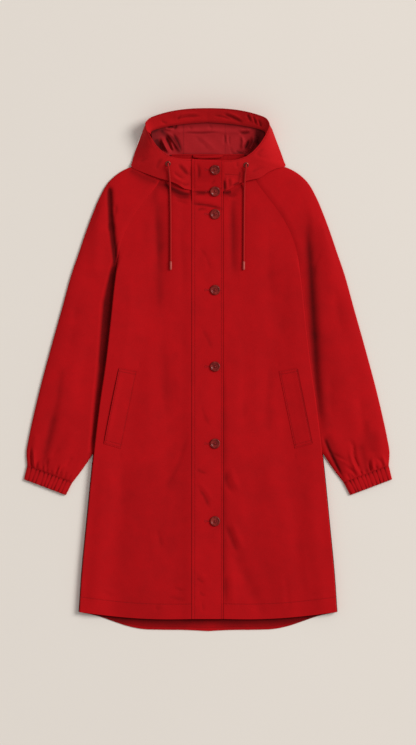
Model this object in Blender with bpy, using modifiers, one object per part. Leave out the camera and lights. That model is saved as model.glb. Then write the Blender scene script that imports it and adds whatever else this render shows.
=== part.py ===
"""Hooded rain jacket laid flat on its back, front up, hood opened towards the viewer.

+Z is up from the surface, +Y runs from the hem to the hood, +X is the wearer's left.
Sizes in the tables are millimetres; the origin is under the middle of the garment.
Every cloth piece is an open sheet through its own sections, thickened inwards.
"""

import math

import bpy
import numpy as np
from mathutils import Matrix, Vector
from mathutils.bvhtree import BVHTree

MM = 0.001
SIDES = {"right": -1, "left": 1}

# Cloth and clearances
CLOTH = 1.2
SEAM_GAP = 0.3
UPPER_EDGE = CLOTH + SEAM_GAP + CLOTH
SIDE_GAP = 0.8

# Heights of the upper layer above the surface
FRONT_TOP = 6.0
SLEEVE_TOP = 8.4
RAGLAN_TOP = 6.4
RAGLAN_RISE = (205.0, 60.0)
BODY_ROLL = 14.0
SLEEVE_INNER_ROLL = 12.0
SLEEVE_OUTER_ROLL = 24.0
SLEEVE_ROLL_SHARE = 0.6
SLEEVE_FULL_WIDTH = 40.0
SLEEVE_FOLD_FADE = 13.0

# Below the armpit the body's side edge stands up beside the sleeve's low inner edge
ARMPIT_FADE = (190.0, 60.0)
SIDE_ROLL = 3.0
SIDE_RIDGE = 5.4
SIDE_RIDGE_TOP = 16.0
SIDE_RIDGE_SLOPE = 60.0
SLEEVE_FREE_FADE = (-185.0, 50.0)
# Where each sleeve starts to rise inside its free inner edge, and over what distance
SLEEVE_INNER_RISE = {"right": (6.0, 20.0), "left": (0.0, 5.0)}

# Placket: a strip from the hem to the hood's rim, lapped right over left
PLACKET_LEFT_X = 30.0
PLACKET_RIGHT_X = -32.0
FRONT_RIGHT_START_X = 32.4
PLACKET_THICK = 1.5
PLACKET_LIFT = 1.9
PLACKET_BLEND = 24.0
PLACKET_HOOD_FADE = (330.0, 15.0)
PLACKET_COLUMNS = (-32.0, -11.0, 10.0, 30.0)
PLACKET_HEM_Y = -497.6
PLACKET_NECK_STEP = 8.0

# Buttons
BUTTON_X = 14.3
BUTTON_Y = (399.6, 357.0, 311.6, 160.0, 7.0, -147.0, -302.0)
BUTTON_DIAMETER = 20.4
BUTTON_HOLE = 2.2
BUTTON_HOLE_SPACING = 2.4
BUTTON_STEPS = 16
BUTTON_SEAT_SHARE = 0.42
BUTTON_PROFILE = [
    # share of the radius, height
    (0.0, 2.2),
    (0.60, 2.2),
    (0.72, 3.2),
    (0.88, 3.2),
    (1.0, 2.2),
    (1.0, 0.9),
    (0.82, 0.0),
    (0.0, 0.0),
]

# Eyelets and drawcords
EYELET_DIAMETER = 11.0
EYELET_HOLE = 5.4
EYELET_PLACES = {"right": (-79.6, 411.6), "left": (76.0, 409.0)}
CORD_DIAMETER = 3.8
CORD_POINTS = 32
TIP_LENGTH = 17.0
TIP_DIAMETER = 4.4
TIP_LIFT = 0.2

# Route of each drawcord, out of its eyelet, over the hood's edge and down the front
CORD_ROUTES = {
    "right": [
        # x, y, z
        (-79.6, 412.8, 22.4),
        (-79.6, 411.2, 26.9),
        (-79.4, 408.6, 29.6),
        (-78.9, 404.6, 28.0),
        (-78.0, 399.0, 24.4),
        (-77.2, 392.0, 21.0),
        (-76.5, 384.0, 17.6),
        (-76.1, 378.0, 15.0),
        (-75.8, 371.5, 11.9),
        (-75.6, 364.0, 9.4),
        (-75.3, 354.0, 8.6),
        (-75.0, 340.0, 8.6),
        (-74.6, 320.0, 8.9),
        (-74.4, 290.0, 9.1),
        (-74.3, 255.0, 9.0),
        (-74.3, 217.2, 9.2),
    ],
    "left": [
        # x, y, z
        (76.0, 410.2, 22.0),
        (76.0, 408.7, 26.5),
        (75.9, 406.2, 29.2),
        (75.5, 402.4, 27.8),
        (74.9, 397.0, 24.2),
        (74.1, 390.0, 20.6),
        (73.5, 383.0, 17.4),
        (73.2, 377.5, 14.9),
        (73.0, 371.5, 11.9),
        (72.9, 364.0, 9.4),
        (72.8, 354.0, 8.6),
        (72.7, 340.0, 8.6),
        (72.5, 320.0, 8.9),
        (72.3, 290.0, 9.1),
        (72.0, 255.0, 9.0),
        (71.8, 217.2, 9.0),
    ],
}

# Side edge of the body from the hem corner to the armpit
SIDE_EDGE = [
    # x, y
    (257.5, -483.6),
    (252.5, -410.0),
    (242.0, -300.0),
    (231.0, -190.0),
    (217.0, -70.0),
    (204.0, 20.0),
    (194.5, 104.0),
    (187.0, 174.0),
    (181.0, 219.0),
]

# Raglan seam from the armpit to the neck
RAGLAN_SEAM = [
    # x, y
    (181.0, 219.0),
    (172.5, 256.0),
    (161.0, 284.0),
    (143.5, 314.0),
    (122.0, 343.0),
    (100.0, 372.0),
    (89.0, 394.0),
]

# Outer fold of the sleeve opposite the raglan seam, armpit first
SLEEVE_SHOULDER = [
    # x, y
    (257.5, 236.0),
    (244.0, 276.0),
    (230.5, 312.0),
    (217.0, 344.0),
    (197.0, 377.5),
    (155.0, 405.5),
    (95.0, 404.6),
]

# Sleeve below the armpit: inner edge beside the body, outer fold
SLEEVE_ARM = [
    # inner_x, inner_y, outer_x, outer_y
    (181.0, 219.0, 257.5, 236.0),
    (187.0, 174.0, 272.0, 194.0),
    (194.5, 104.0, 291.0, 126.0),
    (204.0, 20.0, 313.5, 46.0),
    (217.0, -70.0, 337.5, -44.0),
    (223.5, -123.0, 350.0, -97.0),
    (229.5, -164.0, 358.5, -137.0),
    (247.0, -193.0, 362.8, -163.0),
    (270.6, -224.4, 361.4, -191.0),
]

# Cuff corners: where it meets the sleeve, and its free edge
CUFF_INNER = ((271.4, -225.2), (284.2, -250.2))
CUFF_OUTER = ((361.8, -192.0), (368.0, -218.6))
CUFF_GATHERS = 11
CUFF_STEPS = 4
CUFF_TOP = 5.6
CUFF_WAVE = 1.1
CUFF_ROLL = 9.0
CUFF_TURN = ((1.9, 0.0), (0.4, 1.1))

# Back hem: a shallow tail below the front
BACK_HEM = [
    # x, y
    (0.0, -522.0),
    (44.0, -519.8),
    (97.0, -519.2),
    (132.0, -517.6),
    (160.0, -511.8),
    (187.0, -502.8),
    (216.0, -492.8),
    (257.5, -483.6),
]
BACK_NECK_CORNER = (84.0, 407.6)

# Lower hem of the fronts, as depth below the line between its ends
FRONT_HEM_CENTRE_Y = -495.0
FRONT_HEM_SAG = 7.0
FRONT_HEM_REACH = 40.0
FRONT_ARMPIT_Y = 205.0
FRONT_NECK_Y = 366.0

# Hood sides, from the top corner of the rim round to the placket.
# free is 1 where the lower edge stands clear of the shoulder, 0 at the neck seam.
HOOD_LEFT = [
    # rim_x, rim_y, rim_z, edge_x, edge_y, edge_z, free
    (112.8, 504.4, 31.0, 113.4, 500.6, 2.9, 1.0),
    (118.6, 499.4, 31.3, 118.6, 496.0, 2.9, 1.0),
    (122.2, 493.0, 32.0, 122.8, 490.6, 2.9, 1.0),
    (121.8, 485.0, 33.0, 127.5, 483.0, 2.9, 1.0),
    (117.0, 473.5, 33.0, 132.0, 471.5, 2.9, 1.0),
    (110.5, 461.5, 32.5, 136.6, 459.0, 2.9, 1.0),
    (103.0, 450.4, 31.5, 142.0, 445.0, 2.9, 1.0),
    (95.0, 441.2, 30.5, 147.5, 430.0, 2.9, 1.0),
    (86.5, 433.2, 29.5, 152.0, 417.0, 3.2, 1.0),
    (79.0, 427.8, 28.5, 155.0, 408.2, 5.6, 1.0),
    (71.0, 424.0, 27.5, 136.0, 402.0, 10.0, 1.0),
    (61.0, 420.6, 26.5, 120.0, 395.0, 12.0, 1.0),
    (52.0, 418.8, 26.0, 103.0, 384.0, 12.5, 1.0),
    (44.0, 418.0, 25.5, 80.0, 378.4, 12.0, 0.9),
    (37.0, 418.0, 25.2, 60.0, 371.6, 11.0, 0.6),
    (33.0, 418.0, 25.0, 45.0, 362.6, 9.4, 0.3),
    (30.0, 418.0, 25.0, 30.0, 356.8, 8.2, 0.0),
]
HOOD_RIGHT = [
    # rim_x, rim_y, rim_z, edge_x, edge_y, edge_z, free
    (112.8, 504.6, 31.0, 113.4, 500.8, 2.9, 1.0),
    (119.0, 499.6, 31.3, 119.0, 496.2, 2.9, 1.0),
    (124.0, 493.0, 32.0, 124.2, 490.6, 2.9, 1.0),
    (124.4, 484.0, 33.0, 128.4, 483.5, 2.9, 1.0),
    (119.0, 473.0, 33.0, 132.4, 472.5, 2.9, 1.0),
    (111.6, 461.0, 32.5, 137.0, 460.0, 2.9, 1.0),
    (103.4, 448.8, 31.5, 142.4, 446.0, 2.9, 1.0),
    (95.0, 440.0, 30.5, 147.5, 431.0, 2.9, 1.0),
    (87.0, 433.2, 29.5, 151.4, 417.0, 3.2, 1.0),
    (80.0, 428.8, 28.5, 153.6, 407.8, 5.6, 1.0),
    (73.0, 425.6, 27.5, 131.0, 395.4, 10.0, 1.0),
    (65.0, 423.4, 26.5, 113.0, 388.6, 12.0, 1.0),
    (57.0, 422.0, 26.0, 97.0, 383.0, 12.5, 1.0),
    (49.0, 421.4, 25.5, 79.0, 378.2, 12.0, 0.9),
    (41.0, 421.0, 25.2, 62.0, 371.6, 11.0, 0.6),
    (36.0, 420.9, 25.0, 47.0, 362.6, 9.4, 0.3),
    (32.4, 420.8, 25.0, 32.6, 359.6, 8.2, 0.0),
]
HOOD_STEPS = 6
HOOD_STEP_POWER = 0.85
HOOD_UNDERLAP = ((10.0, 419.0, 357.4), (-11.0, 419.9, 358.0), (-32.0, 420.8, 358.6))

# Back of the hood: flat on the surface, its forehead edge standing up to the rim
HOOD_BACK_START_Y = 408.0
HOOD_BACK_COLUMNS = 17
RIM_PEAK_Y = 522.0
RIM_DROP = 17.6
RIM_DROP_AT_X = 112.4
RIM_DROP_POWER = 2.5
HOOD_BACK_FLOOR = [
    # along, half_width
    (0.0, 151.0),
    (0.25, 146.0),
    (0.5, 138.0),
    (0.78, 128.0),
]
HOOD_BACK_WALL = [
    # inset, height, half_width
    (10.0, 0.0, 118.0),
    (5.4, 2.2, 112.2),
    (2.6, 8.0, 112.2),
    (1.0, 18.0, 112.2),
    (0.0, 31.0, 112.2),
]

# Facing inside the hood's forehead edge
FACING = [
    # outer_x, outer_y, inner_x, inner_y, inner_z
    (0.2, 519.6, 0.2, 494.6, 12.0),
    (44.0, 517.9, 42.0, 491.6, 12.1),
    (76.0, 512.6, 72.0, 487.6, 12.6),
    (97.0, 505.8, 93.0, 483.2, 14.0),
    (108.0, 500.6, 103.0, 480.4, 16.0),
    (115.4, 494.4, 110.0, 477.6, 18.5),
    (117.4, 487.0, 113.0, 475.0, 21.0),
]
FACING_RIM_Z = 30.0
FACING_COLUMNS = 10
FACING_ACROSS = (0.0, 0.3, 0.65, 1.0)
FACING_BOW = 1.15

# Lining in three pieces, its seams where the hood's own seams are
LINING_FLOOR = 3.0
LINING_LOW_Y = 429.0
LINING_SEAM_RIGHT_X = -49.0
LINING_SEAM_LEFT_X = 34.0
LINING_EDGE = [
    # y, x
    (429.0, 86.0),
    (440.0, 98.0),
    (450.0, 106.0),
    (461.0, 111.0),
    (473.0, 113.0),
    (480.0, 112.0),
]
LINING_SIDE_RISE = 15.0
LINING_FLAT_X = 58.0
LINING_BEND_WIDTH = 55.0
LINING_UNDERLAP = 1.6
LINING_DROP = 1.0
LINING_TURN_POWER = 4
LINING_ROWS = 9
LINING_COLUMNS = 7
# y, height, width, half length, fade
LINING_CREASE = (476.0, 1.6, 5.0, 50.0, 30.0)

# Band inside the back of the neck, and the loop sewn to it
NECK_BAND = [
    # y, z, half_width
    (396.0, 2.9, 64.0),
    (410.0, 4.0, 70.0),
    (422.0, 6.6, 74.0),
    (431.0, 9.0, 72.0),
]
NECK_BAND_COLUMNS = 9
HANG_LOOP = [
    # x, y, z
    (-29.5, 427.6, 10.6),
    (-20.0, 425.6, 11.4),
    (0.0, 425.4, 12.0),
    (20.0, 426.6, 11.4),
    (29.5, 427.6, 10.6),
]
HANG_LOOP_WIDTH = 5.4
HANG_LOOP_POINTS = 9
HANG_LOOP_THICK = 1.0

# Pocket welts: corners on the left front, mirrored on the right one
WELT_CORNERS = {
    "inner_top": (142.0, -2.0),
    "outer_top": (177.5, 4.6),
    "inner_low": (174.0, -157.0),
    "outer_low": (208.0, -147.5),
}
WELT_THICK = 1.4
WELT_GAP = 0.5
WELT_ROWS = 12
WELT_COLUMNS = 5

# Folds of the fronts: ridges are positive, troughs negative
FOLD_FADE = 30.0
FRONT_FOLDS = [
    # x0, y0, x1, y1, width, height
    (-95.0, 345.0, -92.0, 185.0, 13.0, -1.5),
    (-60.0, 330.0, -62.0, 120.0, 22.0, 1.2),
    (-130.0, 260.0, -140.0, 60.0, 24.0, 1.4),
    (-120.0, -60.0, -150.0, -480.0, 30.0, 1.7),
    (-65.0, -40.0, -70.0, -480.0, 22.0, -1.2),
    (-205.0, -190.0, -222.0, -470.0, 20.0, 1.4),
    (52.0, 352.0, 53.0, 190.0, 11.0, -1.2),
    (95.0, 330.0, 105.0, 60.0, 26.0, 1.5),
    (150.0, 220.0, 158.0, 40.0, 20.0, -1.0),
    (60.0, 60.0, 62.0, -330.0, 20.0, 1.1),
    (56.0, -370.0, 110.0, -490.0, 13.0, -1.9),
    (120.0, -170.0, 170.0, -480.0, 30.0, 1.8),
    (200.0, -230.0, 222.0, -470.0, 18.0, 1.2),
]

# Folds of each sleeve, x measured outwards
SLEEVE_FOLDS = {
    "right": [
        # x0, y0, x1, y1, width, height
        (197.0, 362.0, 193.5, 280.0, 5.4, -5.2),
        (193.5, 290.0, 185.0, 222.0, 5.4, -5.0),
        (214.0, 330.0, 226.0, 190.0, 15.0, 2.4),
        (245.0, 90.0, 290.0, -90.0, 24.0, 2.2),
        (312.0, -112.0, 331.0, -192.0, 9.0, -2.2),
        (268.0, -120.0, 302.0, -200.0, 14.0, 1.8),
        (345.0, -130.0, 350.0, -188.0, 8.0, 1.4),
    ],
    "left": [
        # x0, y0, x1, y1, width, height
        (201.0, 318.0, 203.0, 236.0, 9.0, -2.8),
        (202.5, 244.0, 207.0, 130.0, 7.0, -4.6),
        (206.0, 150.0, 216.0, 0.0, 6.5, -4.2),
        (215.0, 20.0, 226.0, -100.0, 6.0, -3.0),
        (230.0, 300.0, 252.0, 150.0, 16.0, 2.2),
        (252.0, 70.0, 296.0, -110.0, 24.0, 2.2),
        (304.0, -150.0, 318.0, -206.0, 8.0, -1.8),
        (236.0, -130.0, 270.0, -212.0, 9.0, -1.6),
        (340.0, -120.0, 347.0, -190.0, 10.0, 1.6),
    ],
}

# Height from which the sheets are looked down on, and length of the hole cutters
LOOK_FROM = 100.0
CUTTER_LENGTH = 9.0
SEAT_STEPS = 12

# Rows and columns of the sheets
HEM_POINTS = 13
BODY_ROWS = 21
RAGLAN_ROWS = 9
ARM_ROWS = 16
EDGE_STEPS = (0.0, 0.9, 3.0, 12.0, 27.0)
FRONT_COLUMNS = 6
SLEEVE_ACROSS = (0.0, 0.03, 0.07, 0.12, 0.17, 0.23, 0.31, 0.44, 0.62, 0.8, 0.93, 1.0)
SLEEVE_TURN = ((0.4, 1.1), (1.9, 0.0))


def puff(distance, roll):
    """Quarter-round rise from 0 at an edge to 1 at the given distance inside it."""
    part = np.clip(np.asarray(distance, float) / roll, 0.0, 1.0)
    return np.sqrt(1.0 - (1.0 - part) ** 2)


def ease(value):
    """Smooth step from 0 to 1."""
    part = np.clip(np.asarray(value, float), 0.0, 1.0)
    return part * part * (3.0 - 2.0 * part)


def smooth_curve(points, count):
    """Evenly spaced points on a smooth curve through the given ones."""
    given = np.array(points, float)
    steps = np.linalg.norm(np.diff(given, axis=0), axis=1)
    knots = np.concatenate([[0.0], np.cumsum(steps)])
    slopes = np.gradient(given, knots, axis=0)
    wanted = np.linspace(0.0, knots[-1], count)
    place = np.clip(np.searchsorted(knots, wanted, "right") - 1, 0, len(given) - 2)
    span = (knots[place + 1] - knots[place])[:, None]
    t = (wanted - knots[place])[:, None] / span
    start = (2 * t**3 - 3 * t**2 + 1) * given[place]
    leave = (t**3 - 2 * t**2 + t) * span * slopes[place]
    end = (3 * t**2 - 2 * t**3) * given[place + 1]
    arrive = (t**3 - t**2) * span * slopes[place + 1]
    return start + leave + end + arrive


def fold_relief(x, y, folds):
    """Sum of soft ridges and troughs, each running along a line and fading at its ends."""
    relief = np.zeros_like(np.asarray(x, float))
    for x0, y0, x1, y1, width, height in folds:
        run = np.array((x1 - x0, y1 - y0))
        length = np.hypot(*run)
        along = ((x - x0) * run[0] + (y - y0) * run[1]) / length**2
        aside = ((x - x0) * run[1] - (y - y0) * run[0]) / length
        fade = ease(along / 0.2 + 0.5) * ease((1.0 - along) / 0.2 + 0.5)
        relief = relief + height * np.exp(-((aside / width) ** 2)) * fade
    return relief


def raglan_height(y):
    """Height of the seam between sleeve and front: low at the armpit, higher towards the neck."""
    start, length = RAGLAN_RISE
    return UPPER_EDGE + (RAGLAN_TOP - UPPER_EDGE) * ease((y - start) / length)


def below_armpit(y):
    """1 where body and sleeve are separate, fading to 0 along the raglan seam."""
    start, length = ARMPIT_FADE
    return 1.0 - ease((y - start) / length)


def beside_body(y):
    """1 where the sleeve's inner edge lies along the body, 0 at the raglan seam and cuff."""
    start, length = SLEEVE_FREE_FADE
    return below_armpit(y) * ease((y - start) / length)


def front_height(x, y, inside):
    """Upper face of a front panel; inside is the distance from its side edge."""
    edge = raglan_height(y)
    free = below_armpit(y)
    ridge = SIDE_RIDGE * free * (1.0 - ease((inside - SIDE_RIDGE_TOP) / SIDE_RIDGE_SLOPE))
    roll = BODY_ROLL + (SIDE_ROLL - BODY_ROLL) * free
    height = edge + (FRONT_TOP + ridge - edge) * puff(inside, roll)
    height = height + fold_relief(x, y, FRONT_FOLDS) * ease(inside / FOLD_FADE)
    return np.maximum(height, UPPER_EDGE)


def collection_named(name):
    collection = bpy.data.collections.new(name)
    bpy.context.scene.collection.children.link(collection)
    return collection


def plain_material(name, colour, roughness, metallic=0.0):
    material = bpy.data.materials.new(name)
    material.use_nodes = True
    shader = material.node_tree.nodes["Principled BSDF"]
    shader.inputs["Base Color"].default_value = (*colour, 1.0)
    shader.inputs["Roughness"].default_value = roughness
    shader.inputs["Metallic"].default_value = metallic
    return material


def add_object(name, data, material):
    piece = bpy.data.objects.new(name, data)
    data.materials.append(material)
    GARMENT.objects.link(piece)
    return piece


def grid_faces(rows, columns, closed=False):
    """Quads of a grid, seen counter-clockwise with rows going up and columns going right."""
    faces = []
    for row in range(rows - 1):
        for column in range(columns if closed else columns - 1):
            after = (column + 1) % columns
            low = row * columns
            high = low + columns
            faces.append((low + column, low + after, high + after, high + column))
    return faces


def cloth_sheet(name, points, material, thickness=CLOTH, closed=False):
    """Cloth piece: a sheet through a grid of points, thickened away from its outer face."""
    rows, columns = points.shape[:2]
    mesh = bpy.data.meshes.new(name)
    mesh.from_pydata((points.reshape(-1, 3) * MM).tolist(), [], grid_faces(rows, columns, closed))
    piece = add_object(name, mesh, material)
    wall = piece.modifiers.new("Cloth thickness", "SOLIDIFY")
    wall.thickness = thickness * MM
    wall.offset = -1.0
    return piece


def facing_up(points, side):
    """Columns in left-to-right order, so that the outer face looks up on both sides."""
    return points if side > 0 else points[:, ::-1]


def surface_of(points):
    """Search tree of a sheet's outer face, for laying other pieces on it."""
    rows, columns = points.shape[:2]
    return BVHTree.FromPolygons(points.reshape(-1, 3).tolist(), grid_faces(rows, columns))


def lie_on(surfaces, x, y):
    """Height and slope of the topmost of some surfaces at a place."""
    best = None
    for surface in surfaces:
        hit, normal, _, _ = surface.ray_cast(Vector((x, y, LOOK_FROM)), Vector((0.0, 0.0, -1.0)))
        if hit is not None and (best is None or hit.z > best[0]):
            best = (hit.z, normal if normal.z > 0 else -normal)
    return best


def flat_outline(name, outline, thickness, material):
    """Flat cloth piece lying on the surface."""
    curve = bpy.data.curves.new(name, "CURVE")
    curve.dimensions = "2D"
    curve.fill_mode = "BOTH"
    curve.extrude = 0.5 * thickness * MM
    spline = curve.splines.new("POLY")
    spline.points.add(len(outline) - 1)
    for point, (x, y) in zip(spline.points, outline):
        point.co = (x * MM, y * MM, 0.0, 1.0)
    spline.use_cyclic_u = True
    piece = add_object(name, curve, material)
    piece.location.z = 0.5 * thickness * MM
    return piece


def front_rows():
    """Rows of a front panel, hem first: its side point and the y of its middle end."""
    side_edge = smooth_curve(SIDE_EDGE, BODY_ROWS)
    raglan = smooth_curve(RAGLAN_SEAM, RAGLAN_ROWS)
    edge = np.concatenate([side_edge, raglan[1:]])
    middle = np.interp(
        edge[:, 1],
        (edge[0, 1], SIDE_EDGE[-1][1], edge[-1, 1]),
        (FRONT_HEM_CENTRE_Y, FRONT_ARMPIT_Y, FRONT_NECK_Y),
    )
    return edge, middle


def front_sheet(side, start_x, lapped):
    """Outer face of one front panel, from its middle edge to the side seam and raglan seam."""
    edge, middle = front_rows()
    rows = []
    for (edge_x, edge_y), middle_y in zip(edge, middle):
        inner_end = PLACKET_LEFT_X if lapped else start_x
        spread = np.linspace(inner_end, edge_x - EDGE_STEPS[-1], FRONT_COLUMNS + 1)
        close = edge_x - np.array(EDGE_STEPS[-2::-1])
        across = np.concatenate([spread, close])
        part = (across - across[0]) / (edge_x - across[0])
        y = middle_y + (edge_y - middle_y) * part
        if lapped:
            under = np.array(PLACKET_COLUMNS[:-1])
            across = np.concatenate([under, across])
            y = np.concatenate([np.full(len(under), middle_y), y])
        hem = ease((edge[0, 1] + FRONT_HEM_REACH - edge_y) / FRONT_HEM_REACH)
        sag = np.clip(across / edge_x, 0.0, 1.0)
        y = y - FRONT_HEM_SAG * hem * np.sin(math.pi * sag)
        x = side * across if not lapped else across
        z = front_height(x, y, edge_x - across)
        if not lapped:
            near = 1.0 - ease((across - start_x) / PLACKET_BLEND)
            start, length = PLACKET_HOOD_FADE
            below_hood = 1.0 - ease((y - start) / length)
            z = z + (PLACKET_LIFT - SEAM_GAP) * near * below_hood
        rows.append(np.stack([x, y, z], axis=1))
    return facing_up(np.array(rows), side)


def sleeve_sheet(side_name):
    """One-piece sleeve: upper layer, outer fold and under layer, open along the inner edge."""
    side = SIDES[side_name]
    raglan = smooth_curve(RAGLAN_SEAM, RAGLAN_ROWS)[::-1]
    shoulder = smooth_curve(SLEEVE_SHOULDER, RAGLAN_ROWS)[::-1]
    raglan = raglan + np.array((2.0 * SEAM_GAP, 0.0))
    upper = np.concatenate([raglan, shoulder], axis=1)
    arm = smooth_curve(SLEEVE_ARM, ARM_ROWS)[1:]
    arm[:, 0] += SIDE_GAP
    sections = np.concatenate([upper, arm])
    rows = []
    for inner_x, inner_y, outer_x, outer_y in sections:
        width = math.hypot(outer_x - inner_x, outer_y - inner_y)
        across = np.array(SLEEVE_ACROSS)
        x = inner_x + (outer_x - inner_x) * across
        y = inner_y + (outer_y - inner_y) * across
        inner_edge = raglan_height(inner_y)
        full = min(1.0, width / SLEEVE_FULL_WIDTH)
        top = inner_edge + (SLEEVE_TOP - inner_edge) * full
        beside = beside_body(inner_y)
        steep = puff(across * width, SLEEVE_INNER_ROLL)
        start, length = SLEEVE_INNER_RISE[side_name]
        gentle = ease((across * width - start) / length)
        inner_fall = (top - inner_edge) * (1.0 - steep + (steep - gentle) * beside)
        outer_roll = min(SLEEVE_OUTER_ROLL, SLEEVE_ROLL_SHARE * width)
        outer_fall = (top - UPPER_EDGE) * (1.0 - puff((1.0 - across) * width, outer_roll))
        relief = fold_relief(x, y, SLEEVE_FOLDS[side_name])
        relief = relief * ease(across * width / SLEEVE_FOLD_FADE)
        relief = relief * ease((1.0 - across) * width / SLEEVE_FOLD_FADE)
        z = np.maximum(top - inner_fall - outer_fall + relief, UPPER_EDGE)
        upper_layer = np.stack([side * x, y, z], axis=1)
        step = np.array((inner_x - outer_x, inner_y - outer_y)) / width
        turned = []
        for inward, height in SLEEVE_TURN:
            place = np.array((outer_x, outer_y)) + step * inward
            turned.append((side * place[0], place[1], height))
        turned.append((side * inner_x, inner_y, 0.0))
        rows.append(np.concatenate([upper_layer, np.array(turned)]))
    return facing_up(np.array(rows)[::-1], side)


def cuff_ring(side_name):
    """Elastic cuff: gathered upper side over a flat under side, as one flattened ring."""
    side = SIDES[side_name]
    count = CUFF_GATHERS * CUFF_STEPS
    across = np.linspace(0.0, 1.0, count + 1)
    rows = []
    for part in (1.0, 0.5, 0.0):
        inner = np.array(CUFF_INNER[0]) * (1.0 - part) + np.array(CUFF_INNER[1]) * part
        outer = np.array(CUFF_OUTER[0]) * (1.0 - part) + np.array(CUFF_OUTER[1]) * part
        place = inner + (outer - inner) * across[:, None]
        width = np.hypot(*(outer - inner))
        rise = puff(across * width, CUFF_ROLL) * puff((1.0 - across) * width, CUFF_ROLL)
        wave = CUFF_WAVE * np.cos(2.0 * math.pi * CUFF_GATHERS * across)
        z = UPPER_EDGE + (CUFF_TOP - UPPER_EDGE - wave) * rise
        top = np.stack([side * place[:, 0], place[:, 1], z], axis=1)
        step = (outer - inner) / width
        under = []
        for inward, height in CUFF_TURN[::-1]:
            spot = outer - step * inward
            under.append((side * spot[0], spot[1], height))
        for inward, height in CUFF_TURN:
            spot = inner + step * inward
            under.append((side * spot[0], spot[1], height))
        rows.append(np.concatenate([top, np.array(under)]))
    return facing_up(np.array(rows), side)


def hood_section(row):
    """Points of a hood side from its rim down to its lower edge."""
    rim_x, rim_y, rim_z, edge_x, edge_y, edge_z, free = row
    part = np.linspace(0.0, 1.0, HOOD_STEPS + 1) ** HOOD_STEP_POWER
    dome = np.cos(0.5 * math.pi * part)
    slope = 0.5 + 0.5 * np.cos(math.pi * part)
    fall = free * dome + (1.0 - free) * slope
    x = rim_x + (edge_x - rim_x) * part
    y = rim_y + (edge_y - rim_y) * part
    z = edge_z + (rim_z - edge_z) * fall
    return np.stack([x, y, z], axis=1)


def hood_side_sheet(side_name):
    """Hood side from the rim's top corner to the placket, the left one running under it."""
    side = SIDES[side_name]
    rows = list(HOOD_LEFT if side > 0 else HOOD_RIGHT)
    rim_z, _, _, edge_z, free = rows[-1][2:]
    if side > 0:
        for x, rim_y, edge_y in HOOD_UNDERLAP:
            rows.append((x, rim_y, rim_z, x, edge_y, edge_z, free))
    sections = np.array([hood_section(row) for row in rows])
    sections[:, :, 0] *= side
    return sections[:, ::-1] if side > 0 else sections


def rim_line(x):
    """Y of the forehead edge of the hood."""
    return RIM_PEAK_Y - RIM_DROP * (np.abs(x) / RIM_DROP_AT_X) ** RIM_DROP_POWER


def hood_back_sheet():
    """Back of the hood: flat on the surface, then turning up to the forehead edge."""
    across = np.linspace(-1.0, 1.0, HOOD_BACK_COLUMNS)
    bend = HOOD_BACK_WALL[0][0]
    rows = []
    for along, half_width in HOOD_BACK_FLOOR:
        x = across * half_width
        far = rim_line(x * HOOD_BACK_WALL[0][2] / half_width) - bend
        y = HOOD_BACK_START_Y + (far - HOOD_BACK_START_Y) * along
        rows.append(np.stack([x, y, np.zeros_like(x)], axis=1))
    for inset, height, half_width in HOOD_BACK_WALL:
        x = across * half_width
        rows.append(np.stack([x, rim_line(x) - inset, np.full_like(x, height)], axis=1))
    return np.array(rows)[:, ::-1]


def facing_sheet(side):
    """Half of the facing, from its seam at the top of the hood round to the side."""
    sections = smooth_curve(FACING, FACING_COLUMNS)
    rows = []
    for part in FACING_ACROSS:
        x = sections[:, 2] + (sections[:, 0] - sections[:, 2]) * part
        y = sections[:, 3] + (sections[:, 1] - sections[:, 3]) * part
        z = sections[:, 4] + (FACING_RIM_Z - sections[:, 4]) * part**FACING_BOW
        rows.append(np.stack([side * x, y, z], axis=1))
    return facing_up(np.array(rows), side)


def lining_sheet(start_x, end_x):
    """Piece of lining between two seams; a missing end runs out under the hood's side."""
    facing_x = [row[2] for row in FACING]
    facing_y = [row[3] for row in FACING]
    facing_z = [row[4] for row in FACING]
    edge_y, edge_x = zip(*LINING_EDGE)
    rows = []
    for part in np.linspace(0.0, 1.0, LINING_ROWS):
        nominal_y = LINING_LOW_Y + (LINING_EDGE[-1][0] - LINING_LOW_Y) * part
        limit = np.interp(nominal_y, edge_y, edge_x)
        left = -limit if start_x is None else start_x
        right = limit if end_x is None else end_x
        x = np.linspace(left, right, LINING_COLUMNS)
        top_y = np.interp(np.abs(x), facing_x, facing_y) + LINING_UNDERLAP
        top_z = np.interp(np.abs(x), facing_x, facing_z) - CLOTH - LINING_DROP
        y = LINING_LOW_Y + (top_y - LINING_LOW_Y) * part
        bent = np.clip((np.abs(x) - LINING_FLAT_X) / LINING_BEND_WIDTH, 0.0, 1.0)
        side_rise = LINING_SIDE_RISE * bent**2
        crease_y, crease_height, crease_width, crease_x, crease_fade = LINING_CREASE
        crease = crease_height * np.exp(-(((y - crease_y) / crease_width) ** 2))
        crease = crease * (1.0 - ease((np.abs(x) - crease_x) / crease_fade))
        upward = part**LINING_TURN_POWER
        z = LINING_FLOOR + side_rise * (1.0 - upward) + (top_z - LINING_FLOOR) * upward + crease
        rows.append(np.stack([x, y, z], axis=1))
    return np.array(rows)


def neck_band_sheet():
    """Band inside the back of the neck, its upper edge standing up."""
    across = np.linspace(-1.0, 1.0, NECK_BAND_COLUMNS)
    rows = []
    for y, z, half_width in NECK_BAND:
        level = np.ones_like(across)
        rows.append(np.stack([across * half_width, y * level, z * level], axis=1))
    return np.array(rows)


def hang_loop_sheet():
    """Loop of narrow tape sewn down at its ends, bowed up between them."""
    middle = smooth_curve(HANG_LOOP, HANG_LOOP_POINTS)
    rows = []
    for shift in (-0.5, 0.5):
        rows.append(middle + np.array((0.0, shift * HANG_LOOP_WIDTH, 0.0)))
    return np.array(rows)


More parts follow.
